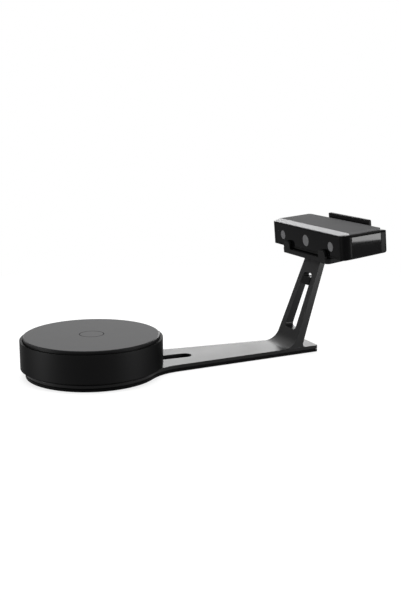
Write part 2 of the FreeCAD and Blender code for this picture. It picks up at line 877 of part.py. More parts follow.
def rear_bumpers():
    """Rubber blocks on the cradle's rear wall, just behind the head."""
    base = rear_wall_top / 2 - s.bumper_height / 2
    head_rear = s.head_depth * cosine(s.head_rise_angle) + (base + s.bumper_height) * sine(s.head_rise_angle)
    start = head_rear + s.pad_clearance
    length = cradle_end - s.rear_wall_thickness - start
    return group([box(length, s.bumper_width, s.bumper_height, (start, lug_y * side * 0.8, base),
                      centred=True) for side in (-1, 1)])


# Turntable: floor, housing, pedestal and drive
def turntable_floor():
    body = new_body("turntable_floor_blank")
    lip = s.body_radius - s.body_wall - s.window_clearance
    recess = s.boss_radius + s.button_flange / 2
    turned(body, [(0, s.floor_bottom + s.boss_height), (recess, s.floor_bottom + s.boss_height),
                  (recess, s.floor_bottom), (floor_edge_radius, s.floor_bottom),
                  (s.body_radius, s.body_bottom), (lip, s.body_bottom),
                  (lip, s.floor_top + s.floor_lip_height),
                  (lip - s.floor_lip_width, s.floor_top + s.floor_lip_height),
                  (lip - s.floor_lip_width, s.floor_top), (0, s.floor_top)])
    for x, y, angle in circle_places(s.turntable_foot_count, foot_circle_radius, 60):
        recess_sketch = new_sketch(body, "XY_Plane", s.floor_bottom)
        draw_circle(recess_sketch, s.turntable_foot_radius + s.screw_clearance, x, y)
        carve(body, "Pocket", recess_sketch, Length=s.turntable_foot_depth, Reversed=True)
    for x, y in board_corners():
        post = new_sketch(body, "XY_Plane", s.floor_top)
        draw_circle(post, s.standoff_radius, x, y)
        add(body, "Pad", post, Length=s.board_lift)
    floor = drilled(body, housing_screw_places(), s.floor_bottom, s.screw_length)
    floor = drilled(floor, pedestal_screw_places(), s.floor_bottom, s.screw_length)
    return drilled(floor, bracket_screw_places(), bracket_screw_z, bracket_screw_length, down=True)


def board_corners():
    inset = s.standoff_radius
    for x in (-s.table_board_length / 2 + inset, s.table_board_length / 2 - inset):
        for y in (table_board_y + inset, table_board_y + s.table_board_width - inset):
            yield x, y


def housing_screw_places():
    return circle_places(size(4), floor_edge_radius - s.screw_head_radius * 2, 45)


def pedestal_screw_places():
    return circle_places(size(4), s.ball_circle_radius, 45)


def bracket_screw_places():
    middle = s.motor_width / 2 + s.bracket_gap + s.bracket_thickness + s.bracket_foot / 2
    for side in (-1, 1):
        for end in (-1, 1):
            yield motor_x + s.bracket_length / 3 * end, middle * side, 0


def screw_hole(x, y, z, length, down=False):
    """Clearance hole and counterbore for a screw from its head's outer face."""
    seat = place(x, y, z, ALONG_X, 180 if down else 0)
    shank = cylinder(s.screw_radius + s.screw_clearance, length + s.screw_clearance * 2, frame=seat)
    bore = cylinder(s.screw_head_radius + s.screw_clearance, s.screw_head_height + s.overrun,
                    (0, 0, -s.overrun), frame=seat)
    return fuse(shank, bore)


def drilled(item, places, z, length, down=False):
    """A piece with a hole for a screw at each place."""
    return cut(item, *[screw_hole(x, y, z, length, down) for x, y, angle in places])


def screws(places, z, length, down=False):
    turn = 180 if down else 0
    return group([screw(x, y, z, length, axis=ALONG_X, angle=turn) for x, y, angle in places])


def turntable_feet():
    bottom = deck_top
    height = s.floor_bottom + s.turntable_foot_depth - bottom
    return group([cylinder(s.turntable_foot_radius, height, (x, y, bottom))
                  for x, y, angle in circle_places(s.turntable_foot_count, foot_circle_radius, 60)])


def turntable_housing():
    body = new_body("turntable_housing_blank")
    inner = s.body_radius - s.body_wall
    rim = platter_radius + s.rim_gap
    turned(body, [(inner, s.body_bottom), (s.body_radius, s.body_bottom), (s.body_radius, s.rim_top),
                  (rim, s.rim_top), (rim, s.rim_top - s.rim_depth),
                  (inner, s.rim_top - s.rim_depth - (inner - rim))])
    soften(body, "Fillet", s.body_wall / 5, outer_rim)
    half = s.port_width / 2 + s.socket_clearance
    low = s.floor_top + s.board_lift + s.board_thickness - s.socket_clearance
    high = low + s.port_height + s.socket_clearance * 2
    pocket_polygon(body, "XZ_Plane", [(-half, low), (half, low), (half, high), (-half, high)],
                   s.body_wall * 3, s.body_wall * 2 - s.body_radius)
    posts = []
    post_bottom = s.floor_top + s.screw_clearance
    web_bottom = post_bottom + s.floor_lip_height + s.seam_gap
    reach = s.body_wall + s.screw_head_radius * 2 + s.floor_lip_width
    for x, y, angle in housing_screw_places():
        seat = place(x, y, 0, UP, angle)
        posts.append(cylinder(s.head_post_radius, s.screw_length * 2, (0, 0, post_bottom), frame=seat))
        posts.append(box(reach, s.standoff_radius, s.screw_length * 2 - (web_bottom - post_bottom),
                         (0, 0, web_bottom), centred=True, frame=seat))
    return drilled(fuse(body, *posts), housing_screw_places(), s.floor_bottom, s.screw_length)


def outer_rim(edge):
    """Outer edges of the housing's wall at its top and bottom."""
    return isinstance(edge.Curve, Part.Circle) and abs(edge.Curve.Radius - s.body_radius.value) < 1e-3


def bearing_pedestal():
    body = new_body("bearing_pedestal_blank")
    hole = s.spindle_radius + s.spindle_clearance + s.bush_wall + s.spindle_clearance / 2
    web_top = s.pedestal_web_z + s.pedestal_web
    turned(body, [(hole, s.pedestal_web_z), (pedestal_bore_radius, s.pedestal_web_z),
                  (pedestal_bore_radius, s.floor_top), (pedestal_radius, s.floor_top),
                  (pedestal_radius, pedestal_top), (pedestal_bore_radius, pedestal_top),
                  (pedestal_bore_radius, web_top), (hole, web_top)])
    return drilled(body, pedestal_screw_places(), s.floor_bottom, s.screw_length)


def race(name, bottom):
    """A race of the thrust bearing, with a round groove for the balls."""
    inner = s.ball_circle_radius - s.race_half_width
    outer = s.ball_circle_radius + s.race_half_width
    body = new_body(name + "_blank")
    turned(body, ring_points(inner, outer, bottom, bottom + s.race_height))
    groove = feature("Part::Torus", "groove", Radius1=s.ball_circle_radius,
                     Radius2=s.ball_radius + s.ball_clearance)
    groove.Placement = place(0, 0, ball_z)
    return node(cut(body, groove), name)


def bearing_cage():
    inner = s.ball_circle_radius - s.cage_half_width
    outer = s.ball_circle_radius + s.cage_half_width
    body = new_body("bearing_cage_blank")
    turned(body, ring_points(inner, outer, ball_z - s.cage_thickness / 2, ball_z + s.cage_thickness / 2))
    holes = [cylinder(s.ball_radius + s.window_clearance, s.cage_thickness + s.overrun,
                      (x, y, ball_z - s.cage_thickness / 2 - s.overrun / 2))
             for x, y, angle in circle_places(s.ball_count, s.ball_circle_radius)]
    return cut(body, *holes)


def bearing_balls():
    balls = []
    for x, y, angle in circle_places(s.ball_count, s.ball_circle_radius):
        ball = feature("Part::Sphere", "ball", Radius=s.ball_radius)
        ball.Placement = place(x, y, ball_z)
        balls.append(ball)
    return group(balls)


def spindle_bush():
    inner = s.spindle_radius + s.spindle_clearance
    outer = inner + s.bush_wall
    top = s.pedestal_web_z + s.pedestal_web
    body = new_body("spindle_bush_blank")
    turned(body, [(inner, s.pedestal_web_z), (outer, s.pedestal_web_z), (outer, top),
                  (outer + s.bush_wall, top), (outer + s.bush_wall, top + s.bush_flange),
                  (inner, top + s.bush_flange)])
    return body


def spindle():
    bottom = s.pedestal_web_z - s.spindle_tail
    body = new_body("spindle_blank")
    turned(body, [(0, bottom), (s.spindle_radius, bottom),
                  (s.spindle_radius, platter_bottom - s.spindle_flange),
                  (s.spindle_flange_radius, platter_bottom - s.spindle_flange),
                  (s.spindle_flange_radius, platter_bottom), (0, platter_bottom)])
    return platter_drilled(body)


def platter_screw_places():
    """Screws up through the gear and through the spindle's flange."""
    gear_ring = (gear_bore_radius + gear_radius - gear_module * 1.5) / 2
    for x, y, angle in circle_places(size(4), gear_ring, 45):
        yield x, y, platter_bottom - s.gear_face
    flange_ring = (s.spindle_radius + s.spindle_flange_radius + s.screw_clearance) / 2
    for x, y, angle in circle_places(size(3), flange_ring, 30):
        yield x, y, platter_bottom - s.spindle_flange


def platter_screws():
    return group([screw(x, y, z, platter_screw_top - z) for x, y, z in platter_screw_places()])


def platter_drilled(item):
    return cut(item, *[screw_hole(x, y, z, platter_screw_top - z) for x, y, z in platter_screw_places()])


def spindle_clip():
    top = s.pedestal_web_z - s.ball_clearance
    return ring_points(s.spindle_radius, s.clip_ring_radius, top - s.clip_ring_thickness, top)


# Platter
def platter():
    body = new_body("platter_blank")
    inner = platter_radius - s.platter_wall
    top = s.platter_top - s.mat_thickness
    seat_in = s.ball_circle_radius - s.race_half_width
    seat_out = s.ball_circle_radius + s.race_half_width
    mat = platter_radius - s.mat_margin
    turned(body, [(0, platter_bottom), (seat_in, platter_bottom), (seat_in, seat_bottom),
                  (seat_out, seat_bottom), (seat_out, platter_bottom), (inner, platter_bottom),
                  (inner, top - s.platter_skirt), (platter_radius, top - s.platter_skirt),
                  (platter_radius, top), (mat, s.platter_top), (mat, top), (0, top)])
    return platter_drilled(body)


def platter_mat():
    """Matte sheet on the platter, with a fine groove round its middle."""
    top, bottom = s.platter_top, s.platter_top - s.mat_thickness
    mat = platter_radius - s.mat_margin - s.window_clearance
    floor = top - s.mat_thickness / 2
    body = new_body("platter_mat_blank")
    turned(body, [(0, bottom), (mat, bottom), (mat, top), (s.ring_radius + s.ring_width, top),
                  (s.ring_radius + s.ring_width, floor), (s.ring_radius, floor),
                  (s.ring_radius, top), (0, top)])
    return body


def centre_ring():
    top = s.platter_top - s.ring_height
    return ring_points(s.ring_radius + s.ring_height, s.ring_radius + s.ring_width - s.ring_height,
                       s.platter_top - s.mat_thickness / 2, top)


# Gears
def involute(angle):
    return math.tan(angle) - angle


def gear_outline(teeth, bottom, first_angle):
    """Closed wire of an involute gear, thinned by the backlash; heights as shares of the module."""
    addendum_share, dedendum_share, flank_points = 0.9, 1.2, 4
    module = gear_module.value
    pressure = math.radians(s.pressure_angle.value)
    pitch = module * teeth / 2
    base_radius = pitch * math.cos(pressure)
    tip = pitch + module * addendum_share
    root = pitch - module * dedendum_share
    thinning = s.gear_backlash.value / 2 / pitch
    start = max(base_radius, root)

    def half_angle(radius):
        at = math.acos(min(1.0, base_radius / radius))
        return math.pi / 2 / teeth + involute(pressure) - involute(at) - thinning / 2

    flank = [start + (tip - start) * step / (flank_points - 1) for step in range(flank_points)]
    side = [(root, half_angle(start))] + [(radius, half_angle(radius)) for radius in flank]
    points = []
    for tooth in range(teeth):
        middle = math.radians(first_angle) + 2 * math.pi * tooth / teeth
        for radius, half in side:
            points.append((radius, middle - half))
        for radius, half in reversed(side):
            points.append((radius, middle + half))
    corners = [FreeCAD.Vector(r * math.cos(a), r * math.sin(a), bottom.value) for r, a in points]
    return Part.makePolygon(corners + corners[:1])


def gear(name, teeth, bottom, face, bore, first_angle):
    """A spur gear blank with its bore; its outline follows a formula, so it is a plain shape."""
    item = feature("Part::Feature", name)
    blank = Part.Face(gear_outline(int(teeth.value), bottom, first_angle))
    blank = blank.extrude(FreeCAD.Vector(0, 0, face.value))
    hole = Part.makeCylinder(bore.value, face.value, FreeCAD.Vector(0, 0, bottom.value))
    item.Shape = blank.cut(hole)
    return item


def platter_gear():
    return platter_drilled(gear("gear_blank", s.gear_teeth, platter_bottom - s.gear_face, s.gear_face,
                                gear_bore_radius, 0))


def motor_pinion():
    half_tooth = 180 / s.pinion_teeth.value
    bottom = platter_bottom - s.pinion_drop - s.pinion_face
    return gear("pinion_blank", s.pinion_teeth, bottom, s.pinion_face,
                s.motor_shaft_radius + s.spindle_clearance / 2, half_tooth)


def motor_body():
    half = s.motor_width / 2
    block = box(s.motor_width, s.motor_width, s.motor_height, (-half, 0, motor_bottom), centred=True)
    chamfered = feature("Part::Chamfer", "bevelled", Base=block)
    corner = s.motor_corner.value
    chamfered.Edges = [(number, corner, corner)
                       for number in sharp_edges(block, lambda edge: runs_along(edge, UP))]
    pilot = cylinder(s.motor_pilot_radius, s.bracket_thickness, (0, 0, motor_top))
    hole = cylinder(s.motor_shaft_radius + s.spindle_clearance, s.motor_shaft_depth + s.overrun,
                    (0, 0, motor_top + s.bracket_thickness - s.motor_shaft_depth))
    return cut(fuse(chamfered, pilot), hole)


def motor_bracket():
    """Bent sheet bridge over the motor, standing on the floor."""
    inner = s.motor_width / 2 + s.bracket_gap
    outer = inner + s.bracket_thickness
    foot = outer + s.bracket_foot
    top = motor_top + s.bracket_thickness
    foot_top = s.floor_top + s.bracket_thickness
    body = new_body("motor_bracket_blank")
    pad_polygon(body, "YZ_Plane", [(inner, s.floor_top), (foot, s.floor_top),
                                   (foot, foot_top), (outer, foot_top),
                                   (outer, top), (-outer, top), (-outer, foot_top), (-foot, foot_top),
                                   (-foot, s.floor_top), (-inner, s.floor_top), (-inner, motor_top),
                                   (inner, motor_top)], s.bracket_length, Midplane=True)
    pilot = new_sketch(body, "XY_Plane", top + s.overrun)
    draw_circle(pilot, s.motor_pilot_radius + s.window_clearance)
    carve(body, "Pocket", pilot, Length=s.bracket_thickness + s.overrun * 2)
    places = [(x - motor_x, y, angle) for x, y, angle in bracket_screw_places()]
    return drilled(body, places, bracket_screw_z, bracket_screw_length, down=True)


def pinion_shaft():
    top = platter_bottom - s.pinion_drop
    bottom = motor_top + s.bracket_thickness - s.motor_shaft_depth + s.spindle_clearance
    return [(0, bottom), (s.motor_shaft_radius, bottom), (s.motor_shaft_radius, top), (0, top)]


def table_board_parts():
    top = s.floor_top + s.board_lift + s.board_thickness
    chip = box(s.board_lift * 2, s.board_lift * 2, s.board_thickness,
               (-s.board_lift * 4, table_board_y * 1.15, top))
    driver = box(s.board_lift * 1.4, s.board_lift * 1.4, s.board_thickness,
                 (s.board_lift * 1.6, table_board_y * 1.1, top))
    can = cylinder(s.standoff_radius * 1.2, s.board_lift * 2,
                   (s.table_board_length / 3, table_board_y * 1.3, top))
    return group([chip, driver, can])


def socket(width, height, depth, wall, tongue):
    """A socket open towards +X of its frame, with its tongue or pin inside."""
    shell = box(depth, width, height, (0, 0, 0), centred=True)
    hollow = box(depth, width - wall * 2, height - wall * 2, (wall * 2, 0, wall), centred=True)
    return fuse(cut(shell, hollow), tongue)


def turntable_port():
    top = s.floor_top + s.board_lift + s.board_thickness
    tongue = box(s.port_depth - s.port_wall * 3, s.port_width / 2, s.port_height / 4,
                 (s.port_wall, 0, s.port_height * 0.4), centred=True)
    return socket(s.port_width, s.port_height, s.port_depth, s.port_wall, tongue), top


# Scanner head: outer form, skin and the pieces cut from it
def rounded_block(plane, low, high, radii, length, offset=size(0)):
    """A prism on a plane from two opposite corners, its four edges rounded, the lower two first."""
    body = new_body("rounded_block")
    (start, bottom), (end, top) = low, high
    pad_polygon(body, plane, [(start, bottom), (end, bottom), (end, top), (start, top)], length, offset)
    along = UP if plane == "XY_Plane" else ALONG_X
    first_half, second_half = radii
    middle = ((start + end) / 2).value if plane == "XY_Plane" else ((bottom + top) / 2).value

    def lower(edge):
        point = edge.Vertexes[0].Point
        return (point.x if plane == "XY_Plane" else point.z) < middle

    soften(body, "Fillet", first_half, lambda edge: runs_along(edge, along) and lower(edge))
    soften(body, "Fillet", second_half, lambda edge: runs_along(edge, along) and not lower(edge))
    return body


def head_form(inset, top):
    """The head's body drawn in by inset: its plan, side and front outlines brought together."""
    half = s.head_width / 2 - inset
    front, rear = size(0) + inset, s.head_depth - inset
    over = s.overrun
    corners = (s.head_front_radius - inset, s.head_corner_radius - inset)
    plan = rounded_block("XY_Plane", (front, -half), (rear, half), corners, s.head_height)
    side = new_body("head_side_outline")
    pad_polygon(side, "XZ_Plane", [(-over, inset - over * rise_slope), (rear, inset + rear * rise_slope),
                                   (rear, top), (-over, top)], s.head_width + over, Midplane=True)
    soften(side, "Fillet", s.head_underside_radius - inset,
           lambda edge: runs_along(edge, ALONG_Y) and edge.Vertexes[0].X > rear.value - 1e-3
           and edge.Vertexes[0].Z < top.value / 2)
    if inset.value:
        return common(plan, side)
    soften(side, "Fillet", s.head_rear_radius,
           lambda edge: runs_along(edge, ALONG_Y) and edge.Vertexes[0].X > rear.value - 1e-3
           and edge.Vertexes[0].Z > top.value / 2)
    form = common(plan, side)
    edge_radius = s.head_edge_radius
    face = rounded_block("YZ_Plane", (-half, size(0)), (half, top), (edge_radius, edge_radius),
                         s.head_depth + over * 2, -over)
    return common(form, face)


def lid_block(grow, low, high):
    """The lid's plan outline, grown by a gap, between two heights."""
    return rounded_block("XY_Plane", (s.lid_front_margin - grow, -lid_half - grow),
                         (lid_end + grow, lid_half + grow),
                         (s.lid_front_radius + grow, s.lid_rear_radius + grow), high - low, low)


def lid_form():
    """The lid, with its front bevel and the hollow under its rear part."""
    over = s.overrun
    slope = s.bevel_drop / (s.bevel_depth - s.lid_front_margin)
    start = s.lid_front_margin - over
    body = lid_block(size(0), lid_bottom, s.head_height)
    pocket_polygon(body, "XZ_Plane", [(start, s.head_height - s.bevel_drop - over * slope),
                                      (s.bevel_depth, s.head_height), (s.bevel_depth, s.head_height + over),
                                      (start, s.head_height + over)], s.head_width, Midplane=True)
    hollow_start = s.bevel_depth + s.lid_overlap
    hollow = box(lid_end - s.lid_overlap - hollow_start, (lid_half - s.lid_overlap) * 2,
                 s.lid_thickness - s.lid_skin + over, (hollow_start, 0, lid_bottom - over), centred=True)
    return cut(body, hollow)


def zone(start, end, low, high):
    """A block across the head's whole width."""
    return box(end - start, s.head_width + s.overrun * 2, high - low, (start, 0, low), centred=True)


def head_shells():
    """Front panel, lower shell and rear cap cut from one skin, top cover and trim from one lid."""
    over = s.overrun
    gap = s.seam_gap / 2
    opening_start = s.lid_front_margin + s.lid_overlap
    rear_start = s.head_depth - s.rear_depth
    opening = box(rear_start - s.lid_overlap - opening_start, (lid_half - s.lid_overlap * 2) * 2,
                  s.shelf_thickness + over * 2, (opening_start, 0, shelf_bottom - over), centred=True)
    rebate = lid_block(gap, shelf_top, head_top + over)
    skin = cut(head_form(size(0), head_top), head_form(s.head_wall, shelf_bottom), rebate, opening)
    low, top = -over, s.head_height + over
    panel = common(skin, zone(-over, s.panel_depth - gap, low, top))
    shell = common(skin, zone(s.panel_depth + gap, rear_start - gap, low, top))
    cap = common(skin, zone(rear_start + gap, s.head_depth + over, low, top))
    lid = lid_form()
    trim = common(lid, zone(size(0), s.bevel_depth - gap, low, top))
    cover = common(lid, zone(s.bevel_depth + gap, s.head_depth, low, top))
    return panel, shell, cap, trim, cover


def front_plate(grow, start, end):
    """The glossy plate let into the front panel, or its pocket when grown by a gap."""
    radius = s.plate_corner_radius + grow
    return rounded_block("YZ_Plane", (-plate_half - grow, s.plate_bottom - grow),
                         (plate_half + grow, plate_top + grow), (radius, radius), end - start, start)


def window_places():
    yield "window_right", -window_spacing, s.window_radius
    yield "window_middle", size(0), s.projector_window_radius
    yield "window_left", window_spacing, s.window_radius


def front_disc(radius, thickness, start, y):
    """A disc facing the front of the head."""
    return cylinder(radius, thickness, (start, y, s.window_height), ALONG_Y, 90)


def head_post_places():
    rear_start = s.head_depth - s.rear_depth
    for u in (s.panel_depth + s.head_post_radius * 1.3, rear_start - s.head_post_radius * 1.3):
        for side in (-1, 1):
            yield u, (s.head_width / 2 - s.head_wall - s.head_post_radius * 0.9) * side


def head_pieces():
    panel, shell, cap, trim, cover = head_shells()
    through = s.head_wall + s.overrun * 2
    wall_holes = [front_disc(radius - s.window_ledge, through, -s.overrun, y)
                  for name, y, radius in window_places()]
    plate_holes = [front_disc(radius + s.window_clearance, through, -s.overrun, y)
                   for name, y, radius in window_places()]
    node(cut(panel, front_plate(s.plate_gap, -s.overrun, plate_seat), *wall_holes), "front_panel", HEAD)
    node(cut(front_plate(size(0), s.plate_recess, plate_seat), *plate_holes), "front_plate", HEAD)
    start = s.plate_recess + s.window_recess
    for name, y, radius in window_places():
        node(front_disc_piece(radius, plate_seat - start, start, y), name, HEAD)
    posts = []
    screws = []
    holes = []
    post_top = shelf_bottom + s.shelf_thickness / 2
    for u, y in head_post_places():
        floor = u * rise_slope
        post_bottom = floor + s.head_wall / 2
        posts.append(cylinder(s.head_post_radius, post_top - post_bottom, (u, y, post_bottom)))
        seat = place(u, y, floor + s.seam_gap, ALONG_Y, -s.head_rise_angle)
        screws.append(fuse(cylinder(s.screw_head_radius, s.screw_head_height, frame=seat),
                           cylinder(s.screw_radius, s.screw_length, frame=seat)))
        holes.append(cylinder(s.screw_head_radius + s.screw_clearance, s.screw_head_height + s.overrun,
                              (0, 0, -s.overrun), frame=seat))
        holes.append(cylinder(s.screw_radius + s.screw_clearance, s.screw_length + s.screw_clearance,
                              frame=seat))
    node(cut(fuse(shell, *posts), *holes), "lower_shell", HEAD)
    node(group(screws), "head_screws", HEAD)
    node(trim, "top_trim", HEAD)
    node(cover, "top_cover", HEAD)
    node(rear_cap(cap), "rear_cap", HEAD)


def front_disc_piece(radius, thickness, start, y):
    disc = front_disc(radius, thickness, start, y)
    rim = s.window_recess / 2
    return fuse(disc, front_disc(radius - s.window_recess, rim, start - rim, y))


def rear_cap(cap):
    """Rear wall with its socket openings, the button's hole and bosses for the main board."""
    board_rear = main_board_u + s.board_thickness
    bosses = []
    for y in (-board_half_length * 0.95, -board_half_length * 0.4,
              board_half_length * 0.4, board_half_length * 0.97):
        bosses.append(cylinder(s.standoff_radius * 0.8, inner_rear + s.head_wall / 2 - board_rear,
                               (board_rear, y, s.main_board_bottom + s.main_board_height * 0.85),
                               ALONG_Y, 90))
    tools = []
    for y, width, height in ((usb_y, s.usb_width, s.usb_height), (power_y, s.power_width, s.power_height)):
        tools.append(box(s.rear_depth + s.overrun, width + s.socket_clearance * 2,
                         height + s.socket_clearance * 2,
                         (s.head_depth - s.rear_depth, y, socket_low(height) - s.socket_clearance),
                         centred=True))
    tools.append(cylinder(s.button_radius + s.button_clearance, s.rear_depth + s.overrun,
                          (s.head_depth - s.rear_depth, -button_y, s.window_height), ALONG_Y, 90))
    return cut(fuse(cap, *bosses), *tools)


def socket_low(height):
    return s.window_height - height / 2


def lens_frame(side):
    """A camera's axis: along +Z of this frame to the rear, toed in towards the turntable."""
    turn = FreeCAD.Rotation(UP, s.camera_toe_in.value * side)
    aim = turn.multiply(FreeCAD.Rotation(ALONG_Y, 90))
    return FreeCAD.Placement(vector(s.barrel_front, window_spacing * side, s.window_height), aim)


def tube(radius, wall, length, frame):
    return cut(cylinder(radius, length, frame=frame), cylinder(radius - wall, length + s.overrun,
                                                               (0, 0, -s.overrun / 2), frame=frame))


def optics():
    """Rail, two cameras and the projector."""
    rail = new_body("optics_rail_blank")
    front, back = s.rail_front, s.rail_front + s.rail_thickness
    pad_polygon(rail, "XZ_Plane", [(front, s.rail_bottom), (s.rail_flange_end, s.rail_bottom),
                                   (s.rail_flange_end, s.rail_bottom + s.rail_flange),
                                   (back, s.rail_bottom + s.rail_flange),
                                   (back, rail_top), (front, rail_top)],
                rail_half_length * 2, Midplane=True)
    holes = []
    for side, radius in ((-1, s.camera_barrel_radius), (0, s.projector_barrel_radius),
                         (1, s.camera_barrel_radius)):
        shift = (s.rail_front - s.barrel_front) * tangent(s.camera_toe_in) * side
        holes.append(cylinder(radius + s.rail_hole_gap, s.rail_thickness + s.overrun * 2,
                              (front - s.overrun, window_spacing * side + shift, s.window_height),
                              ALONG_Y, 90))
    node(cut(rail, *holes), "optics_rail", HEAD)
    bodies, barrels, lenses, boards = [], [], [], []
    for side in (-1, 1):
        seat = lens_frame(side)
        length = s.camera_barrel_length
        half = s.camera_body_width / 2
        barrels.append(tube(s.camera_barrel_radius, s.barrel_wall, length, seat))
        lenses.append(cylinder(s.camera_barrel_radius - s.barrel_wall - s.spindle_clearance / 2,
                               s.lens_thickness, (0, 0, s.lens_recess), frame=seat))
        start = length + s.spindle_clearance
        bodies.append(box(s.camera_body_width, s.camera_body_width, s.camera_body_depth,
                          (-half, 0, start), centred=True, frame=seat))
        boards.append(box(s.camera_body_width, s.camera_board_width, s.board_thickness,
                          (-half, 0, start + s.camera_body_depth), centred=True, frame=seat))
    node(group(barrels), "camera_barrels", HEAD)
    node(group(lenses), "camera_lenses", HEAD)
    node(group(bodies), "camera_bodies", HEAD)
    node(group(boards), "camera_boards", HEAD)
    projector()


def projector():
    seat = place(s.barrel_front, 0, s.window_height, ALONG_Y, 90)
    start = projector_start
    node(tube(s.projector_barrel_radius, s.barrel_wall, start - s.barrel_front, seat),
         "projector_barrel", HEAD)
    node(group([cylinder(s.projector_barrel_radius - s.barrel_wall - s.spindle_clearance / 2,
                         s.lens_thickness, (0, 0, s.lens_recess), frame=seat)]), "projector_lens", HEAD)
    low = s.rail_bottom + s.rail_flange + s.spindle_clearance
    block = box(projector_body_length, s.projector_body_width, s.projector_body_height,
                (start, 0, low), centred=True)
    node(rounded(block, s.standoff_radius / 2, lambda edge: runs_along(edge, ALONG_X)),
         "projector_body", HEAD)
    sink_u = sink_start
    base = box(s.heat_sink_base, s.projector_body_width, s.projector_body_height,
               (sink_u, 0, low), centred=True)
    pitch = (s.projector_body_width - s.heat_sink_fin) / (s.heat_sink_fin_count - 1)
    fins = []
    for index in range(int(s.heat_sink_fin_count.value)):
        y = -s.projector_body_width / 2 + s.heat_sink_fin / 2 + pitch * index
        fins.append(box(s.heat_sink_length, s.heat_sink_fin, s.projector_body_height,
                        (sink_u, y, low), centred=True))
    node(fuse(base, *fins), "heat_sink", HEAD)


def head_electronics():
    rear = main_board_u + s.board_thickness
    board = box(s.board_thickness, board_half_length * 2, s.main_board_height,
                (main_board_u, 0, s.main_board_bottom), centred=True)
    node(board, "main_board", HEAD)
    chip = box(s.board_thickness, s.main_board_height * 0.7, s.main_board_height * 0.7,
               (rear, -board_half_length * 0.2, s.main_board_bottom * 1.4))
    switch = box(s.switch_depth, s.switch_width, s.switch_width,
                 (rear, -button_y, s.window_height - s.switch_width / 2), centred=True)
    memory = box(s.board_thickness, s.main_board_height * 0.5, s.main_board_height * 0.4,
                 (rear, board_half_length * 0.1, s.main_board_bottom * 1.6))
    node(group([chip, switch, memory]), "main_board_parts", HEAD)
    wall = s.socket_wall
    usb_frame = HEAD.multiply(place(rear, usb_y, socket_low(s.usb_height)))
    tongue = box(s.socket_depth - wall * 4, s.usb_width / 2, s.usb_height / 3,
                 (wall, 0, s.usb_height / 3), centred=True)
    node(socket(s.usb_width, s.usb_height, s.socket_depth, wall, tongue), "usb_socket", usb_frame)
    power_frame = HEAD.multiply(place(rear, power_y, socket_low(s.power_height)))
    block = box(s.socket_depth, s.power_width, s.power_height, (0, 0, 0), centred=True)
    bore = cylinder(s.power_bore_radius, s.socket_depth, (wall * 2, 0, s.power_height / 2), ALONG_Y, 90)
    pin = cylinder(s.power_pin_radius, s.socket_depth - wall * 3, (wall, 0, s.power_height / 2), ALONG_Y, 90)
    node(fuse(cut(block, bore), pin), "power_socket", power_frame)
    flange_front = inner_rear - s.button_clearance
    stem = cylinder(s.button_radius, s.head_depth + s.button_proud - flange_front,
                    (flange_front, 0, 0), ALONG_Y, 90)
    flange = cylinder(s.button_radius + s.button_flange, s.button_flange_thickness,
                      (flange_front - s.button_flange_thickness, 0, 0), ALONG_Y, 90)
    stem = rounded(stem, s.button_proud / 2, lambda edge: edge.Length > s.button_radius.value * 6
                   and edge.CenterOfMass.x > s.head_depth.value)
    plunger_front = rear + s.switch_depth + s.button_travel + s.button_clearance
    plunger = cylinder(s.button_plunger_radius, flange_front - plunger_front,
                       (plunger_front, 0, 0), ALONG_Y, 90)
    button_frame = HEAD.multiply(place(0, -button_y, s.window_height))
    node(fuse(stem, flange, plunger), "power_button", button_frame)


def build():
    node(stand_frame(), "stand_frame")
    node(base_cover(), "base_cover")
    node(feet(), "base_feet")
    node(post_foot(), "post_foot")
    node(base_screws(), "base_screws")
    node(cable_clip(), "cable_clip")
    node(head_cradle(), "head_cradle", CRADLE)
    node(cradle_screws(), "cradle_screws", CRADLE)
    node(cradle_pads(), "cradle_pads", CRADLE)
    node(rear_bumpers(), "rear_bumpers", CRADLE)
    node(turntable_floor(), "turntable_floor")
    node(turntable_feet(), "turntable_feet")
    node(turntable_housing(), "turntable_housing")
    node(bearing_pedestal(), "bearing_pedestal")
    race("bearing_lower_race", pedestal_top)
    race("bearing_upper_race", race_top)
    node(bearing_cage(), "bearing_cage")
    node(bearing_balls(), "bearing_balls")
    node(spindle_bush(), "spindle_bush")
    node(spindle(), "spindle")
    turned_piece("spindle_clip", spindle_clip())
    node(platter(), "platter")
    node(platter_mat(), "platter_mat")
    turned_piece("centre_ring", centre_ring())
    node(platter_gear(), "platter_gear")
    motor_frame = BASE.multiply(place(motor_x, 0, 0))
    node(motor_pinion(), "motor_pinion", motor_frame)
    node(motor_body(), "motor_body", motor_frame)
    node(motor_bracket(), "motor_bracket", motor_frame)
    node(screws(bracket_screw_places(), bracket_screw_z, bracket_screw_length, down=True), "bracket_screws")
    node(screws(pedestal_screw_places(), s.floor_bottom, s.screw_length), "pedestal_screws")
    node(screws(housing_screw_places(), s.floor_bottom, s.screw_length), "housing_screws")
    node(platter_screws(), "platter_screws")
    turned_piece("motor_shaft", pinion_shaft(), motor_frame)
    board = box(s.table_board_length, s.table_board_width, s.board_thickness,
                (-s.table_board_length / 2, table_board_y, s.floor_top + s.board_lift))
    node(board, "turntable_board")
    node(table_board_parts(), "turntable_board_parts")
    port, port_z = turntable_port()
    port_y = s.body_radius - s.body_wall / 3 - s.port_depth
    node(port, "turntable_port", BASE.multiply(place(0, port_y, port_z, UP, 90)))
    head_pieces()
    optics()
    head_electronics()


def arm_seat(side):
    cradle = place(head_x, 0, head_z, ALONG_Y, -cradle_tilt)
    return cradle.multiply(cradle_screw_frame(s.cradle_screw_y * side))


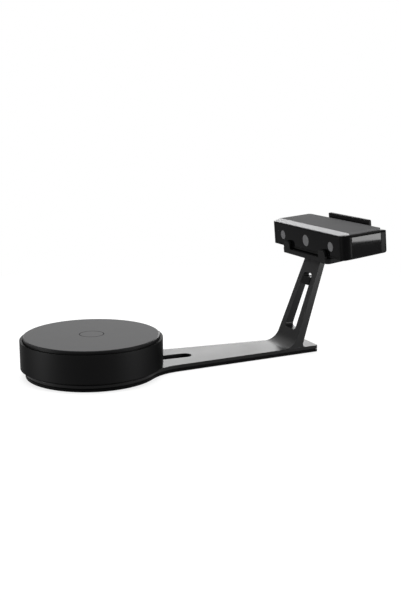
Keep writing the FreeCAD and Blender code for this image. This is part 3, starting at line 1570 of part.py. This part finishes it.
def check_and_write():
    """Stops on any failed object or piece, then writes each piece to its file."""
    doc.recompute()
    failed = [item.Name for item in doc.Objects if "Invalid" in item.State or "Error" in item.State]
    if failed:
        raise ValueError("failed objects: " + ", ".join(failed))
    os.makedirs("parts", exist_ok=True)
    for item in NODES:
        if item.Shape.isNull() or not item.Shape.isValid() or not item.Shape.Solids:
            raise ValueError("bad shape: " + item.Label)
    for item in NODES:
        item.Shape.exportStep("parts/" + item.Label + ".step")


build()
check_and_write()
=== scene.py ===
import json
import math

import bmesh
import bpy
from mathutils import Matrix, Vector


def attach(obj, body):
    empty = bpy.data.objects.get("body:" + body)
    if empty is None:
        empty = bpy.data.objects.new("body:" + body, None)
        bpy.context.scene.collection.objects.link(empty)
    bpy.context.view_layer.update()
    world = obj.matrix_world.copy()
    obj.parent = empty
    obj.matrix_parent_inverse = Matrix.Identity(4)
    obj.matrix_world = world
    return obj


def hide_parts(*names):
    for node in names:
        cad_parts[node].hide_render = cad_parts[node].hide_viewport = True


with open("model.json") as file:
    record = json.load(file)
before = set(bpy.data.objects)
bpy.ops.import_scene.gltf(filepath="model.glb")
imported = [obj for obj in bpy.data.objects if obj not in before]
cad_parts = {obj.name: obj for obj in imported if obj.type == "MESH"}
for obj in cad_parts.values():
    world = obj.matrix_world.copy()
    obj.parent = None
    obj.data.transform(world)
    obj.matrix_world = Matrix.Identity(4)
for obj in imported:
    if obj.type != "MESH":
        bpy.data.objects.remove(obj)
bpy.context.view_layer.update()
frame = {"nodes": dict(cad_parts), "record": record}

MM = 0.001

# Where the photograph was taken from: metres, with the lens and the film's width in millimetres
CAMERA_PLACE = Vector((-0.5353, -1.2271, 0.3734))
CAMERA_AIM = Vector((0.3936, 0.8962, -0.2050))
CAMERA_LENS = 54.86
CAMERA_FILM = 36.0

# The head's frame: rearward, across and up, from its lower front edge
HEAD_TILT = math.radians(5.25)
HEAD_CORNER = Vector((0.18317, 0.0, 0.156))
REARWARD = Vector((math.cos(HEAD_TILT), 0.0, math.sin(HEAD_TILT)))
ACROSS = Vector((0.0, 1.0, 0.0))
HEADUP = Vector((-math.sin(HEAD_TILT), 0.0, math.cos(HEAD_TILT)))

# Other angles and places of the part that details follow
UNDERSIDE_RISE = HEAD_TILT + math.radians(2.26)
ARM_LEAN = math.radians(20.0)
TURN_AXIS_X = -0.16643
DOWN = Vector((0.0, 0.0, -1.0))

# Sockets of the Mix node that hold its colours
MIX_FIRST, MIX_SECOND, MIX_RESULT = 6, 7, 2

# Edges: quality of the rounding, and how fast the edge mask rises; the mask lightens edges as worn paint and
# as a painted highlight
BEVEL_SAMPLES = 6
EDGE_GAIN = 12.0

# Colours that aren't the ground colour of a finish
PAD_GOLD = (0.75, 0.62, 0.3)
COATING_VIOLET = (0.1, 0.05, 0.16)
PLAIN_WHITE = (1.0, 1.0, 1.0, 1.0)

# Ground: metres that keep the shadow, its fading per metre, its depth and its glow
SHADOW_REACH = 0.45
SHADOW_FADE = 2.5
SHADOW_SHADE = (0.36, 0.36, 0.36, 1.0)
SHADOW_GLOW = 0.72
FLOOR_REACH = 6.0

# Strength of the white surroundings where they only light
WORLD_FILL = 0.42


class Wire:
    """A node's socket; arithmetic on it adds Math nodes to its tree."""

    def __init__(self, plan, socket):
        self.plan = plan
        self.socket = socket

    def combine(self, operation, first, second, clamp=False):
        settings = {"operation": operation, "use_clamp": clamp}
        return self.plan.add("ShaderNodeMath", settings, {0: first, 1: second})

    def __add__(self, other):
        return self.combine("ADD", self, other)

    def __sub__(self, other):
        return self.combine("SUBTRACT", self, other)

    def __rsub__(self, other):
        return self.combine("SUBTRACT", other, self)

    def __mul__(self, other):
        return self.combine("MULTIPLY", self, other)

    def clamped(self):
        return self.combine("ADD", self, 0.0, clamp=True)

    def magnitude(self):
        return self.combine("ABSOLUTE", self, 0.0)

    __radd__ = __add__
    __rmul__ = __mul__


class Plan:
    """A node tree that is built node by node."""

    def __init__(self, tree):
        self.tree = tree

    def add(self, kind, settings=None, inputs=None, output=0):
        """Adds a node: its settings first, then values or wires for its sockets."""
        node = self.tree.nodes.new(kind)
        for key, value in (settings or {}).items():
            setattr(node, key, value)
        for key, value in (inputs or {}).items():
            for one in value if isinstance(value, list) else [value]:
                if isinstance(one, Wire):
                    self.tree.links.new(one.socket, node.inputs[key])
                else:
                    node.inputs[key].default_value = one
        return Wire(self, node.outputs[output])

    def end(self, kind, wire):
        """Adds the output node and leads a wire to its surface."""
        node = self.tree.nodes.new(kind)
        self.tree.links.new(wire.socket, node.inputs["Surface"])

    def seen(self):
        """1 for rays that show or mirror a surface, 0 for rays that only light."""
        paths = self.tree.nodes.new("ShaderNodeLightPath")
        names = ("Is Camera Ray", "Is Glossy Ray", "Is Transmission Ray")
        camera, glossy, clear = (Wire(self, paths.outputs[name]) for name in names)
        return camera.combine("MAXIMUM", camera.combine("MAXIMUM", camera, glossy), clear)


class Finish(Plan):
    """A procedural material built from Object coordinates."""

    def __init__(self, name):
        self.material = bpy.data.materials.new(name)
        self.material.use_nodes = True
        super().__init__(self.material.node_tree)
        self.tree.nodes.clear()
        self.place = self.add("ShaderNodeTexCoord", output="Object")

    def noise(self, scale, detail=2.0, stretch=None):
        """Noise between 0 and 1; scale in features per metre."""
        place = self.place
        if stretch:
            place = self.add("ShaderNodeMapping", None, {"Vector": place, "Scale": stretch})
        return self.add("ShaderNodeTexNoise", None, {"Vector": place, "Scale": scale, "Detail": detail})

    def cells(self, scale):
        """Distance to the middles of small cells; scale in cells per metre."""
        return self.add("ShaderNodeTexVoronoi", None, {"Vector": self.place, "Scale": scale})

    def length(self, vector):
        return self.add("ShaderNodeVectorMath", {"operation": "LENGTH"}, {0: vector}, output="Value")

    def blend(self, factor, first, second):
        """Mix of two colours."""
        def full(colour):
            return colour if isinstance(colour, Wire) else (*colour, 1.0)
        return self.add("ShaderNodeMix", {"data_type": "RGBA"},
                        {0: factor, MIX_FIRST: full(first), MIX_SECOND: full(second)}, output=MIX_RESULT)

    def shades(self, factor, colour, low, high):
        """Mix of a darker and a lighter shade of one colour."""
        return self.blend(factor, shaded(colour, low), shaded(colour, high))

    def soften(self, radius):
        """Normal that rounds sharp edges."""
        return self.add("ShaderNodeBevel", {"samples": BEVEL_SAMPLES}, {"Radius": radius})

    def edges(self, soft):
        """Mask that is 1 on the edges that a softened normal rounds."""
        flat = self.add("ShaderNodeNewGeometry", output="Normal")
        same = self.add("ShaderNodeVectorMath", {"operation": "DOT_PRODUCT"}, {0: soft, 1: flat},
                        output="Value")
        return ((1.0 - same) * EDGE_GAIN).clamped()

    def bump(self, height, distance, normal=None):
        inputs = {"Height": height, "Distance": distance, "Strength": 1.0}
        if normal:
            inputs["Normal"] = normal
        return self.add("ShaderNodeBump", None, inputs)

    def shade(self, colour, roughness, normal=None, **fixed):
        """Principled shader; what is in fixed is the same all over."""
        inputs = {"Base Color": colour, "Roughness": roughness}
        if normal:
            inputs["Normal"] = normal
        for key, value in fixed.items():
            inputs[key.replace("_", " ").title().replace("Ior", "IOR")] = value
        self.end("ShaderNodeOutputMaterial", self.add("ShaderNodeBsdfPrincipled", None, inputs))
        return self.material


def shaded(colour, factor):
    """A colour made darker or lighter."""
    return tuple(min(1.0, channel * factor) for channel in colour)


def vary(level, shares, drop=0.0):
    """A level, lowered by a drop and raised by a share of each pattern."""
    total = level - drop
    for pattern, share in shares:
        total = pattern * share + total
    return total


def painted(name, colour, roughness, grain, depth, specular, wear_and_highlight=1.6):
    """Fine powder paint: a grain in relief, slight clouds of tone and lighter edges, partly worn paint and
    partly a painted highlight.
    """
    finish = Finish(name)
    wear_and_highlight_share = 0.5
    soft = finish.soften(radius=0.4 * MM)
    clouds = finish.noise(scale=18.0, detail=3.0)
    speck = finish.noise(scale=grain)
    tone = finish.shades(clouds, colour, low=0.86, high=1.12)
    # Lighter edges: partly worn paint, partly a painted highlight
    tone = finish.blend(finish.edges(soft) * speck * wear_and_highlight_share, tone, shaded(colour, wear_and_highlight))
    rough = vary(roughness, ((clouds, 0.08), (speck, 0.04)), drop=0.06)
    return finish.shade(tone, rough, finish.bump(speck, depth, soft), specular_ior_level=specular)


def matted(name, colour, roughness, grain, depth, specular, painted_shade_radius, line_width):
    """Rubbery mat with a fine grain, and a dark band of painted shade round its middle, at the edge of the
    centre ring.
    """
    finish = Finish(name)
    painted_shade_sharpness, painted_shade_cover, painted_shade_tone = 5000.0, 0.8, 0.2
    soft = finish.soften(radius=0.4 * MM)
    clouds = finish.noise(scale=18.0, detail=3.0)
    speck = finish.noise(scale=grain)
    tone = finish.shades(clouds, colour, low=0.9, high=1.1)
    flat = finish.add("ShaderNodeVectorMath", {"operation": "MULTIPLY_ADD"},
                      {0: finish.place, 1: (1.0, 1.0, 0.0), 2: (-TURN_AXIS_X, 0.0, 0.0)})
    # Painted shade: a dark band where the mat meets its centre ring
    off = (finish.length(flat) - painted_shade_radius).magnitude()
    painted_shade_band = ((line_width - off) * painted_shade_sharpness).clamped()
    tone = finish.blend(painted_shade_band * painted_shade_cover, tone, shaded(colour, painted_shade_tone))
    rough = vary(roughness, ((clouds, 0.08), (speck, 0.04)), drop=0.06)
    return finish.shade(tone, rough, finish.bump(speck, depth, soft), specular_ior_level=specular)


def anodised(name, colour, roughness, grain, depth, rim):
    """Black anodised metal: satin, finely blasted, with little gain towards its rim."""
    finish = Finish(name)
    wear_and_highlight_share, wear_and_highlight_gain = 0.6, 2.0
    soft = finish.soften(radius=0.4 * MM)
    clouds = finish.noise(scale=14.0, detail=3.0)
    speck = finish.noise(scale=grain)
    tone = finish.shades(clouds, colour, low=0.88, high=1.12)
    # Lighter edges: partly worn metal, partly a painted highlight along the rim
    tone = finish.blend(finish.edges(soft) * wear_and_highlight_share, tone, shaded(colour, wear_and_highlight_gain))
    rough = vary(roughness, ((clouds, 0.06), (speck, 0.03)), drop=0.04)
    return finish.shade(tone, rough, finish.bump(speck, depth, soft), metallic=1.0,
                        specular_tint=(rim, rim, rim, 1.0))


def moulded(name, colour, roughness, grain, depth, specular):
    """Moulded plastic with a spark-eroded texture."""
    finish = Finish(name)
    soft = finish.soften(radius=0.3 * MM)
    texture = finish.cells(scale=grain)
    clouds = finish.noise(scale=25.0)
    tone = finish.shades(clouds, colour, low=0.85, high=1.15)
    rough = vary(roughness, ((clouds, 0.06), (finish.edges(soft), 0.05)), drop=0.05)
    return finish.shade(tone, rough, finish.bump(texture, depth, soft), specular_ior_level=specular)


def gloss(name, colour, roughness, specular):
    """Polished plastic: hardly any relief, faint waves and fine dust in the gloss."""
    finish = Finish(name)
    dust_floor = 0.55
    soft = finish.soften(radius=0.5 * MM)
    waves = finish.noise(scale=9.0, detail=1.0)
    dust = (finish.noise(scale=2400.0) - dust_floor).clamped()
    tone = finish.shades(waves, colour, low=1.0, high=1.3)
    rough = vary(roughness, ((waves, 0.02), (dust, 0.15)))
    return finish.shade(tone, rough, finish.bump(waves, 0.02 * MM, soft), specular_ior_level=specular)


def metal(name, colour, roughness, stretch):
    """Machined or drawn metal with fine lines along one direction."""
    finish = Finish(name)
    soft = finish.soften(radius=0.2 * MM)
    lines = finish.noise(scale=300.0, detail=4.0, stretch=stretch)
    stains = finish.noise(scale=40.0)
    tone = finish.shades(lines, colour, low=0.8, high=1.1)
    rough = vary(roughness, ((lines, 0.1), (stains, 0.08)), drop=0.08)
    return finish.shade(tone, rough, finish.bump(lines, 0.004 * MM, soft), metallic=1.0)


def rubber(name, colour, roughness):
    """Moulded rubber with fine pores."""
    finish = Finish(name)
    soft = finish.soften(radius=0.3 * MM)
    pores = finish.cells(scale=1800.0)
    clouds = finish.noise(scale=60.0, detail=3.0)
    tone = finish.shades(clouds, colour, low=0.8, high=1.3)
    rough = vary(roughness, ((clouds, 0.12),))
    return finish.shade(tone, rough, finish.bump(pores, 0.02 * MM, soft), specular_ior_level=0.3)


def circuit_board(name, colour, roughness):
    """Solder mask over faint tracks, with small gilt pads."""
    finish = Finish(name)
    pad_size, pad_sharpness, track_gain = 0.16, 40.0, 1.8
    tracks = finish.add("ShaderNodeTexBrick", {"offset": 0.5},
                        {"Vector": finish.place, "Scale": 260.0, "Mortar Size": 0.03}, output="Fac")
    pads = ((pad_size - finish.cells(scale=420.0)) * pad_sharpness).clamped()
    tone = finish.shades(tracks, colour, low=1.0, high=track_gain)
    tone = finish.blend(pads, tone, PAD_GOLD)
    rough = vary(roughness, ((tracks, 0.1),))
    return finish.shade(tone, rough, finish.bump(tracks, 0.03 * MM))


def lens_glass(name, colour, roughness):
    """Coated glass, violet in places."""
    finish = Finish(name)
    clouds = finish.noise(scale=60.0, detail=1.0)
    tone = finish.blend(clouds, colour, COATING_VIOLET)
    return finish.shade(tone, vary(roughness, ((clouds, 0.02),)), coat_weight=1.0)


# Each material slot's finish; grain in features per metre, depth of relief and the painted shade band in
# metres
FINISHES = {
    "stand_paint": (painted, dict(colour=(0.005, 0.005, 0.0052), roughness=0.36, grain=1900.0,
                                  depth=0.014 * MM, specular=0.06)),
    "cradle_paint": (painted, dict(colour=(0.0035, 0.0035, 0.0037), roughness=0.55, grain=1900.0,
                                   depth=0.014 * MM, specular=0.035)),
    "cover_paint": (painted, dict(colour=(0.002, 0.002, 0.0021), roughness=0.38, grain=2100.0,
                                  depth=0.012 * MM, specular=0.015)),
    "rubber": (rubber, dict(colour=(0.008, 0.008, 0.008), roughness=0.72)),
    "screw_steel": (metal, dict(colour=(0.3, 0.3, 0.31), roughness=0.35, stretch=(1, 1, 12))),
    "black_plastic": (moulded, dict(colour=(0.0016, 0.0016, 0.0017), roughness=0.34, grain=2600.0,
                                    depth=0.01 * MM, specular=0.02)),
    "housing_paint": (anodised, dict(colour=(0.0064, 0.0064, 0.0065), roughness=0.48, grain=2400.0,
                                     depth=0.01 * MM, rim=0.5)),
    "white_plastic": (moulded, dict(colour=(0.75, 0.74, 0.7), roughness=0.4, grain=1500.0,
                                    depth=0.008 * MM, specular=0.5)),
    "bearing_steel": (metal, dict(colour=(0.72, 0.72, 0.74), roughness=0.18, stretch=(1, 1, 8))),
    "bronze": (metal, dict(colour=(0.62, 0.42, 0.2), roughness=0.3, stretch=(8, 1, 1))),
    "motor_steel": (metal, dict(colour=(0.42, 0.42, 0.43), roughness=0.4, stretch=(1, 1, 14))),
    "board": (circuit_board, dict(colour=(0.01, 0.1, 0.035), roughness=0.35)),
    "chips": (moulded, dict(colour=(0.015, 0.015, 0.017), roughness=0.5, grain=3000.0,
                            depth=0.008 * MM, specular=0.4)),
    "platter_black": (painted, dict(colour=(0.003, 0.003, 0.0032), roughness=0.4, grain=2400.0,
                                    depth=0.01 * MM, specular=0.06)),
    "platter_mat": (matted, dict(colour=(0.0885, 0.0885, 0.0895), roughness=0.78, grain=2600.0,
                                 depth=0.02 * MM, specular=0.06, painted_shade_radius=17.3 * MM, line_width=0.9 * MM)),
    "ring_grey": (painted, dict(colour=(0.004, 0.004, 0.004), roughness=0.9, grain=2400.0,
                                depth=0.01 * MM, specular=0.0)),
    "front_gloss": (gloss, dict(colour=(0.001, 0.001, 0.0011), roughness=0.05, specular=0.02)),
    # The head's grey gets strongly lighter edges: mostly a painted highlight along its bevels
    "head_grey": (painted, dict(colour=(0.067, 0.067, 0.0685), roughness=0.75, grain=2200.0,
                                depth=0.01 * MM, specular=0.03, wear_and_highlight=5.0)),
    "head_side": (gloss, dict(colour=(0.0015, 0.0015, 0.0016), roughness=0.02, specular=0.06)),
    "trim_silver": (painted, dict(colour=(0.3, 0.3, 0.305), roughness=0.5, grain=2400.0,
                                  depth=0.008 * MM, specular=0.12, wear_and_highlight=1.1)),
    "window_grey": (gloss, dict(colour=(0.06, 0.06, 0.0615), roughness=0.12, specular=0.04)),
    "aluminium": (metal, dict(colour=(0.66, 0.67, 0.68), roughness=0.32, stretch=(1, 14, 1))),
    "barrel_black": (metal, dict(colour=(0.05, 0.05, 0.055), roughness=0.4, stretch=(1, 1, 10))),
    "lens_glass": (lens_glass, dict(colour=(0.02, 0.03, 0.09), roughness=0.04)),
}
MATERIALS = {name: make(name, **values) for name, (make, values) in FINISHES.items()}

# Nodes that look different from the rest of their slot
OWN_FINISH = {"base_cover": "cover_paint", "head_cradle": "cradle_paint", "lower_shell": "head_side"}


def dress_nodes():
    """Gives every node of the frame its finish."""
    slots = {entry["node"]: entry["material_slot"] for entry in frame["record"]["subparts"]}
    for name, item in frame["nodes"].items():
        item.data.materials.clear()
        item.data.materials.append(MATERIALS[OWN_FINISH.get(name, slots[name])])


def new_object(name, data):
    """An object of the scene for a mesh, lamp or camera."""
    made = bpy.data.objects.new(name, data)
    bpy.context.scene.collection.objects.link(made)
    return made


# Fasteners, contacts and marks
class Recipe(Plan):
    """A Geometry Nodes tree with named inputs for its sizes."""

    SOCKETS = {int: "NodeSocketInt", float: "NodeSocketFloat", tuple: "NodeSocketVector"}

    def __init__(self, name, sizes):
        super().__init__(bpy.data.node_groups.new(name, "GeometryNodeTree"))
        panel = self.tree.interface
        panel.new_socket("Places", in_out="INPUT", socket_type="NodeSocketGeometry")
        for label, kind in sizes.items():
            panel.new_socket(label, in_out="INPUT", socket_type=self.SOCKETS[kind])
        panel.new_socket("Finish", in_out="INPUT", socket_type="NodeSocketMaterial")
        panel.new_socket("Shape", in_out="OUTPUT", socket_type="NodeSocketGeometry")
        self.entry = self.tree.nodes.new("NodeGroupInput")
        self.exit = self.tree.nodes.new("NodeGroupOutput")

    def given(self, *labels):
        """The inputs with these names."""
        wires = [Wire(self, self.entry.outputs[label]) for label in labels]
        return wires if len(wires) > 1 else wires[0]

    def point(self, x=0.0, y=0.0, z=0.0):
        return self.add("ShaderNodeCombineXYZ", None, {0: x, 1: y, 2: z})

    def move(self, shape, place):
        return self.add("GeometryNodeTransform", None, {"Geometry": shape, "Translation": place})

    def join(self, *shapes):
        return self.add("GeometryNodeJoinGeometry", None, {0: list(shapes)})

    def real(self, shape):
        """Makes instances real."""
        return self.add("GeometryNodeRealizeInstances", None, {0: shape})

    def spread(self, shape):
        """Puts a shape on each place, makes it real and gives it its finish: the recipe's end."""
        copies = self.add("GeometryNodeInstanceOnPoints", None,
                          {"Points": self.given("Places"), "Instance": shape, "Rotation": self.given("Turn")})
        dressed = self.add("GeometryNodeSetMaterial", None,
                           {"Geometry": self.real(copies), "Material": self.given("Finish")})
        self.tree.links.new(dressed.socket, self.exit.inputs["Shape"])

    def make(self, name, places, sizes, finish, body):
        """Runs the tree on some places and leaves one plain mesh that rides on a body."""
        mesh = bpy.data.meshes.new(name)
        mesh.from_pydata([tuple(place) for place in places], [], [])
        piece = new_object(name, mesh)
        step = piece.modifiers.new("recipe", "NODES")
        step.node_group = self.tree
        values = dict(sizes, Finish=MATERIALS[finish])
        for item in self.tree.interface.items_tree:
            if item.in_out == "INPUT" and item.name in values:
                step[item.identifier] = values[item.name]
        seen = piece.evaluated_get(bpy.context.evaluated_depsgraph_get())
        made = bpy.data.meshes.new_from_object(seen)
        piece.modifiers.remove(step)
        piece.data = made
        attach(piece, body)
        return piece


def cross_screw():
    """A screw with a tapered head and a cross recess; the middle of its outer face is on its place."""
    recipe = Recipe("cross_screw", {"Head Radius": float, "Head Height": float, "Shank Radius": float,
                                    "Length": float, "Recess Reach": float, "Recess Width": float,
                                    "Facets": int, "Turn": tuple})
    taper, recess_depth, shank_facets = 0.86, 1.1, 12
    radius, height, length = recipe.given("Head Radius", "Head Height", "Length")
    reach, width = recipe.given("Recess Reach", "Recess Width")
    cone = recipe.add("GeometryNodeMeshCone", None,
                      {"Vertices": recipe.given("Facets"), "Radius Top": radius * taper,
                       "Radius Bottom": radius, "Depth": height})
    head = recipe.move(cone, recipe.point(z=height * -1.0))
    slots = [recipe.add("GeometryNodeMeshCube", None, {"Size": recipe.point(*size)})
             for size in ((reach, width, height * recess_depth), (width, reach, height * recess_depth))]
    head = recipe.add("GeometryNodeMeshBoolean", {"operation": "DIFFERENCE"}, {0: head, 1: slots})
    rod = recipe.add("GeometryNodeMeshCylinder", None,
                     {"Vertices": shank_facets, "Radius": recipe.given("Shank Radius"),
                      "Depth": length - height})
    shank = recipe.move(rod, recipe.point(z=(length + height) * -0.5))
    recipe.spread(recipe.join(head, shank))
    return recipe


def contact_strip():
    """Flat contacts side by side, centred on their place."""
    recipe = Recipe("contact_strip", {"Count": int, "Pitch": float, "Size": tuple, "Turn": tuple})
    count, pitch = recipe.given("Count", "Pitch")
    start = recipe.point(y=(count - 1.0) * pitch * -0.5)
    row = recipe.add("GeometryNodeMeshLine", None,
                     {"Count": count, "Offset": recipe.point(y=pitch), "Start Location": start})
    strip = recipe.add("GeometryNodeMeshCube", None, {"Size": recipe.given("Size")})
    contacts = recipe.add("GeometryNodeInstanceOnPoints", None, {"Points": row, "Instance": strip})
    recipe.spread(recipe.real(contacts))
    return recipe


def power_mark():
    """An open ring with a bar, as a thin bead."""
    recipe = Recipe("power_mark", {"Radius": float, "Bead": float, "Opening": float, "Turn": tuple})
    ring_steps, bead_steps, bar_start, bar_end = 28, 8, 0.3, 1.15
    radius, opening = recipe.given("Radius", "Opening")
    ring = recipe.add("GeometryNodeCurveArc", None,
                      {"Resolution": ring_steps, "Radius": radius,
                       "Start Angle": opening * 0.5 + math.pi / 2, "Sweep Angle": math.tau - opening})
    bar = recipe.add("GeometryNodeCurvePrimitiveLine", None,
                     {"Start": recipe.point(y=radius * bar_start), "End": recipe.point(y=radius * bar_end)})
    bead = recipe.add("GeometryNodeCurvePrimitiveCircle", None,
                      {"Resolution": bead_steps, "Radius": recipe.given("Bead")})
    mark = recipe.add("GeometryNodeCurveToMesh", None,
                      {"Curve": recipe.join(ring, bar), "Profile Curve": bead, "Fill Caps": True})
    recipe.spread(mark)
    return recipe


# Screws by node: the body that they ride on, and the way that their heads face
SCREWS = {
    "base_screws": ("stand", DOWN),
    "cradle_screws": ("stand", Vector((math.sin(ARM_LEAN), 0.0, math.cos(ARM_LEAN)))),
    "housing_screws": ("turntable", DOWN),
    "pedestal_screws": ("turntable", DOWN),
    "bracket_screws": ("turntable", -DOWN),
    "platter_screws": ("platter", DOWN),
    "head_screws": ("head", Vector((math.sin(UNDERSIDE_RISE), 0.0, -math.cos(UNDERSIDE_RISE)))),
}
SCREW_SIZES = {"Head Radius": 2.8 * MM, "Head Height": 1.6 * MM, "Shank Radius": 1.5 * MM,
               "Recess Reach": 3.4 * MM, "Recess Width": 0.75 * MM, "Facets": 28}
SAME_PLACE = 1e-6
FACE_DEPTH = 0.1 * MM
LENGTH_DIGITS = 5


def loose_parts(node):
    """Corners of each loose part of a node; its doubles are merged in a copy."""
    work = bmesh.new()
    work.from_mesh(frame["nodes"][node].data)
    bmesh.ops.remove_doubles(work, verts=work.verts, dist=SAME_PLACE)
    left = set(work.verts)
    parts = []
    while left:
        queue = [left.pop()]
        corners = []
        while queue:
            corner = queue.pop()
            corners.append(corner.co.copy())
            near = {other for edge in corner.link_edges for other in edge.verts} & left
            left -= near
            queue.extend(near)
        parts.append(corners)
    work.free()
    return parts


def middle_of(points):
    return Vector([(min(values) + max(values)) / 2 for values in zip(*points)])


def facing(outward):
    return tuple(outward.to_track_quat("Z", "Y").to_euler())


def fit_screws(recipe, node, body, outward):
    """Puts a finished screw on each screw of a node, its outer face where the node has it."""
    lengths = {}
    for corners in loose_parts(node):
        heights = [corner.dot(outward) for corner in corners]
        top = max(heights)
        face = [corner for corner, height in zip(corners, heights) if top - height < FACE_DEPTH]
        lengths.setdefault(round(top - min(heights), LENGTH_DIGITS), []).append(middle_of(face))
    pieces = []
    for index, (length, places) in enumerate(sorted(lengths.items())):
        sizes = dict(SCREW_SIZES, Length=length, Turn=facing(outward))
        name = f"cross_{node}_{index + 1}"
        pieces.append(recipe.make(name, places, sizes, "screw_steel", body))
    for piece in pieces:
        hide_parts(node)


def head_place(rearward, across, up):
    """A place from its distances in the head's frame, in millimetres."""
    return HEAD_CORNER + REARWARD * (rearward * MM) + ACROSS * (across * MM) + HEADUP * (up * MM)


def fit_details():
    screw = cross_screw()
    for node, (body, outward) in SCREWS.items():
        fit_screws(screw, node, body, outward)
    contact = contact_strip()
    usb_rows = [head_place(rearward=69.8, across=70.0, up=level) for level in (15.14, 18.86)]
    contact.make("usb_contacts", usb_rows,
                 {"Count": 3, "Pitch": 1.6 * MM, "Size": (5.6 * MM, 0.8 * MM, 0.16 * MM),
                  "Turn": (0.0, -HEAD_TILT, 0.0)}, "bronze", "head")
    port_middle = Vector((TURN_AXIS_X, 93.2 * MM, 28.73 * MM))
    contact.make("port_contacts", [port_middle],
                 {"Count": 6, "Pitch": 1.05 * MM, "Size": (9.0 * MM, 0.6 * MM, 0.16 * MM),
                  "Turn": (0.0, 0.0, math.pi / 2)}, "bronze", "turntable")
    upright = Matrix((HEADUP.cross(REARWARD), HEADUP, REARWARD)).transposed().to_euler()
    button_face = head_place(rearward=76.72, across=-80.0, up=17.0)
    power_mark().make("power_mark", [button_face],
                      {"Radius": 1.9 * MM, "Bead": 0.2 * MM, "Opening": math.radians(75),
                       "Turn": tuple(upright)}, "trim_silver", "button")


# Floor, lamps and camera
def pale_surface(name):
    """White ground: a soft shadow near the object, and plain white further out."""
    finish = Finish(name)
    far = ((finish.length(finish.place) - SHADOW_REACH) * SHADOW_FADE).clamped()
    grain = finish.noise(scale=30.0)
    paint = finish.add("ShaderNodeBsdfDiffuse", None,
                       {"Color": finish.blend(grain, (0.8, 0.8, 0.8), (0.82, 0.82, 0.82))})
    shadow = finish.add("ShaderNodeBsdfDiffuse", None, {"Color": SHADOW_SHADE})
    glow = finish.add("ShaderNodeEmission", None, {"Color": PLAIN_WHITE, "Strength": SHADOW_GLOW})
    white = finish.add("ShaderNodeEmission", None, {"Color": PLAIN_WHITE, "Strength": 1.0})
    near = finish.add("ShaderNodeAddShader", None, {0: shadow, 1: glow})
    ground = finish.add("ShaderNodeMixShader", None, {0: far, 1: near, 2: white})
    finish.end("ShaderNodeOutputMaterial",
               finish.add("ShaderNodeMixShader", None, {0: finish.seen(), 1: paint, 2: ground}))
    return finish.material


def make_floor():
    mesh = bpy.data.meshes.new("floor")
    turns = ((-1, -1), (1, -1), (1, 1), (-1, 1))
    corners = [(FLOOR_REACH * x, FLOOR_REACH * y, 0.0) for x, y in turns]
    mesh.from_pydata(corners, [], [(0, 1, 2, 3)])
    mesh.materials.append(pale_surface("floor_white"))
    floor = new_object("floor", mesh)


def make_world():
    """White where it is seen or mirrored, softer where it only lights."""
    world = bpy.data.worlds.new("studio")
    world.use_nodes = True
    world.node_tree.nodes.clear()
    plan = Plan(world.node_tree)
    strength = plan.add("ShaderNodeMapRange", None,
                        {"Value": plan.seen(), "To Min": WORLD_FILL, "To Max": 1.0})
    plan.end("ShaderNodeOutputWorld",
             plan.add("ShaderNodeBackground", None, {"Color": PLAIN_WHITE, "Strength": strength}))
    bpy.context.scene.world = world


def make_lamp(name, place, aim, width, height, power, roll=0.0):
    """A rectangular softbox; sizes in metres, power in watts and roll in degrees."""
    data = bpy.data.lights.new(name, "AREA")
    data.shape = "RECTANGLE"
    data.size = width
    data.size_y = height
    data.energy = power
    lamp = new_object(name, data)
    lamp.location = place
    facing_aim = (Vector(aim) - Vector(place)).to_track_quat("-Z", "Y").to_matrix()
    lamp.rotation_euler = (facing_aim @ Matrix.Rotation(math.radians(roll), 3, "Z")).to_euler()
    lamp.visible_camera = False


def make_camera():
    data = bpy.data.cameras.new("photo_view")
    data.sensor_width = CAMERA_FILM
    data.lens = CAMERA_LENS
    camera = new_object("photo_view", data)
    camera.location = CAMERA_PLACE
    camera.rotation_euler = CAMERA_AIM.to_track_quat("-Z", "Y").to_euler()
    bpy.context.scene.camera = camera


def light_studio():
    make_floor()
    make_world()
    make_lamp("top_softbox", place=(-0.1, 0.0, 1.6), aim=(0.0, 0.0, 0.0), width=1.6, height=1.2, power=16.0)
    make_lamp("left_softbox", place=(-1.454, 0.174, 0.16), aim=(TURN_AXIS_X, 0.0, 0.16),
              width=0.42, height=0.3, power=24.0)
    make_lamp("right_softbox", place=(0.805, -0.865, 0.211), aim=(TURN_AXIS_X, 0.0, 0.211),
              width=0.38, height=0.3, power=17.0, roll=9.0)
    make_lamp("back_softbox", place=(0.75, 1.9, 0.55), aim=(0.0, 0.0, 0.1), width=1.8, height=0.7, power=24.0)
    make_camera()
    bpy.context.scene.view_settings.view_transform = "Standard"


dress_nodes()
fit_details()
light_studio()
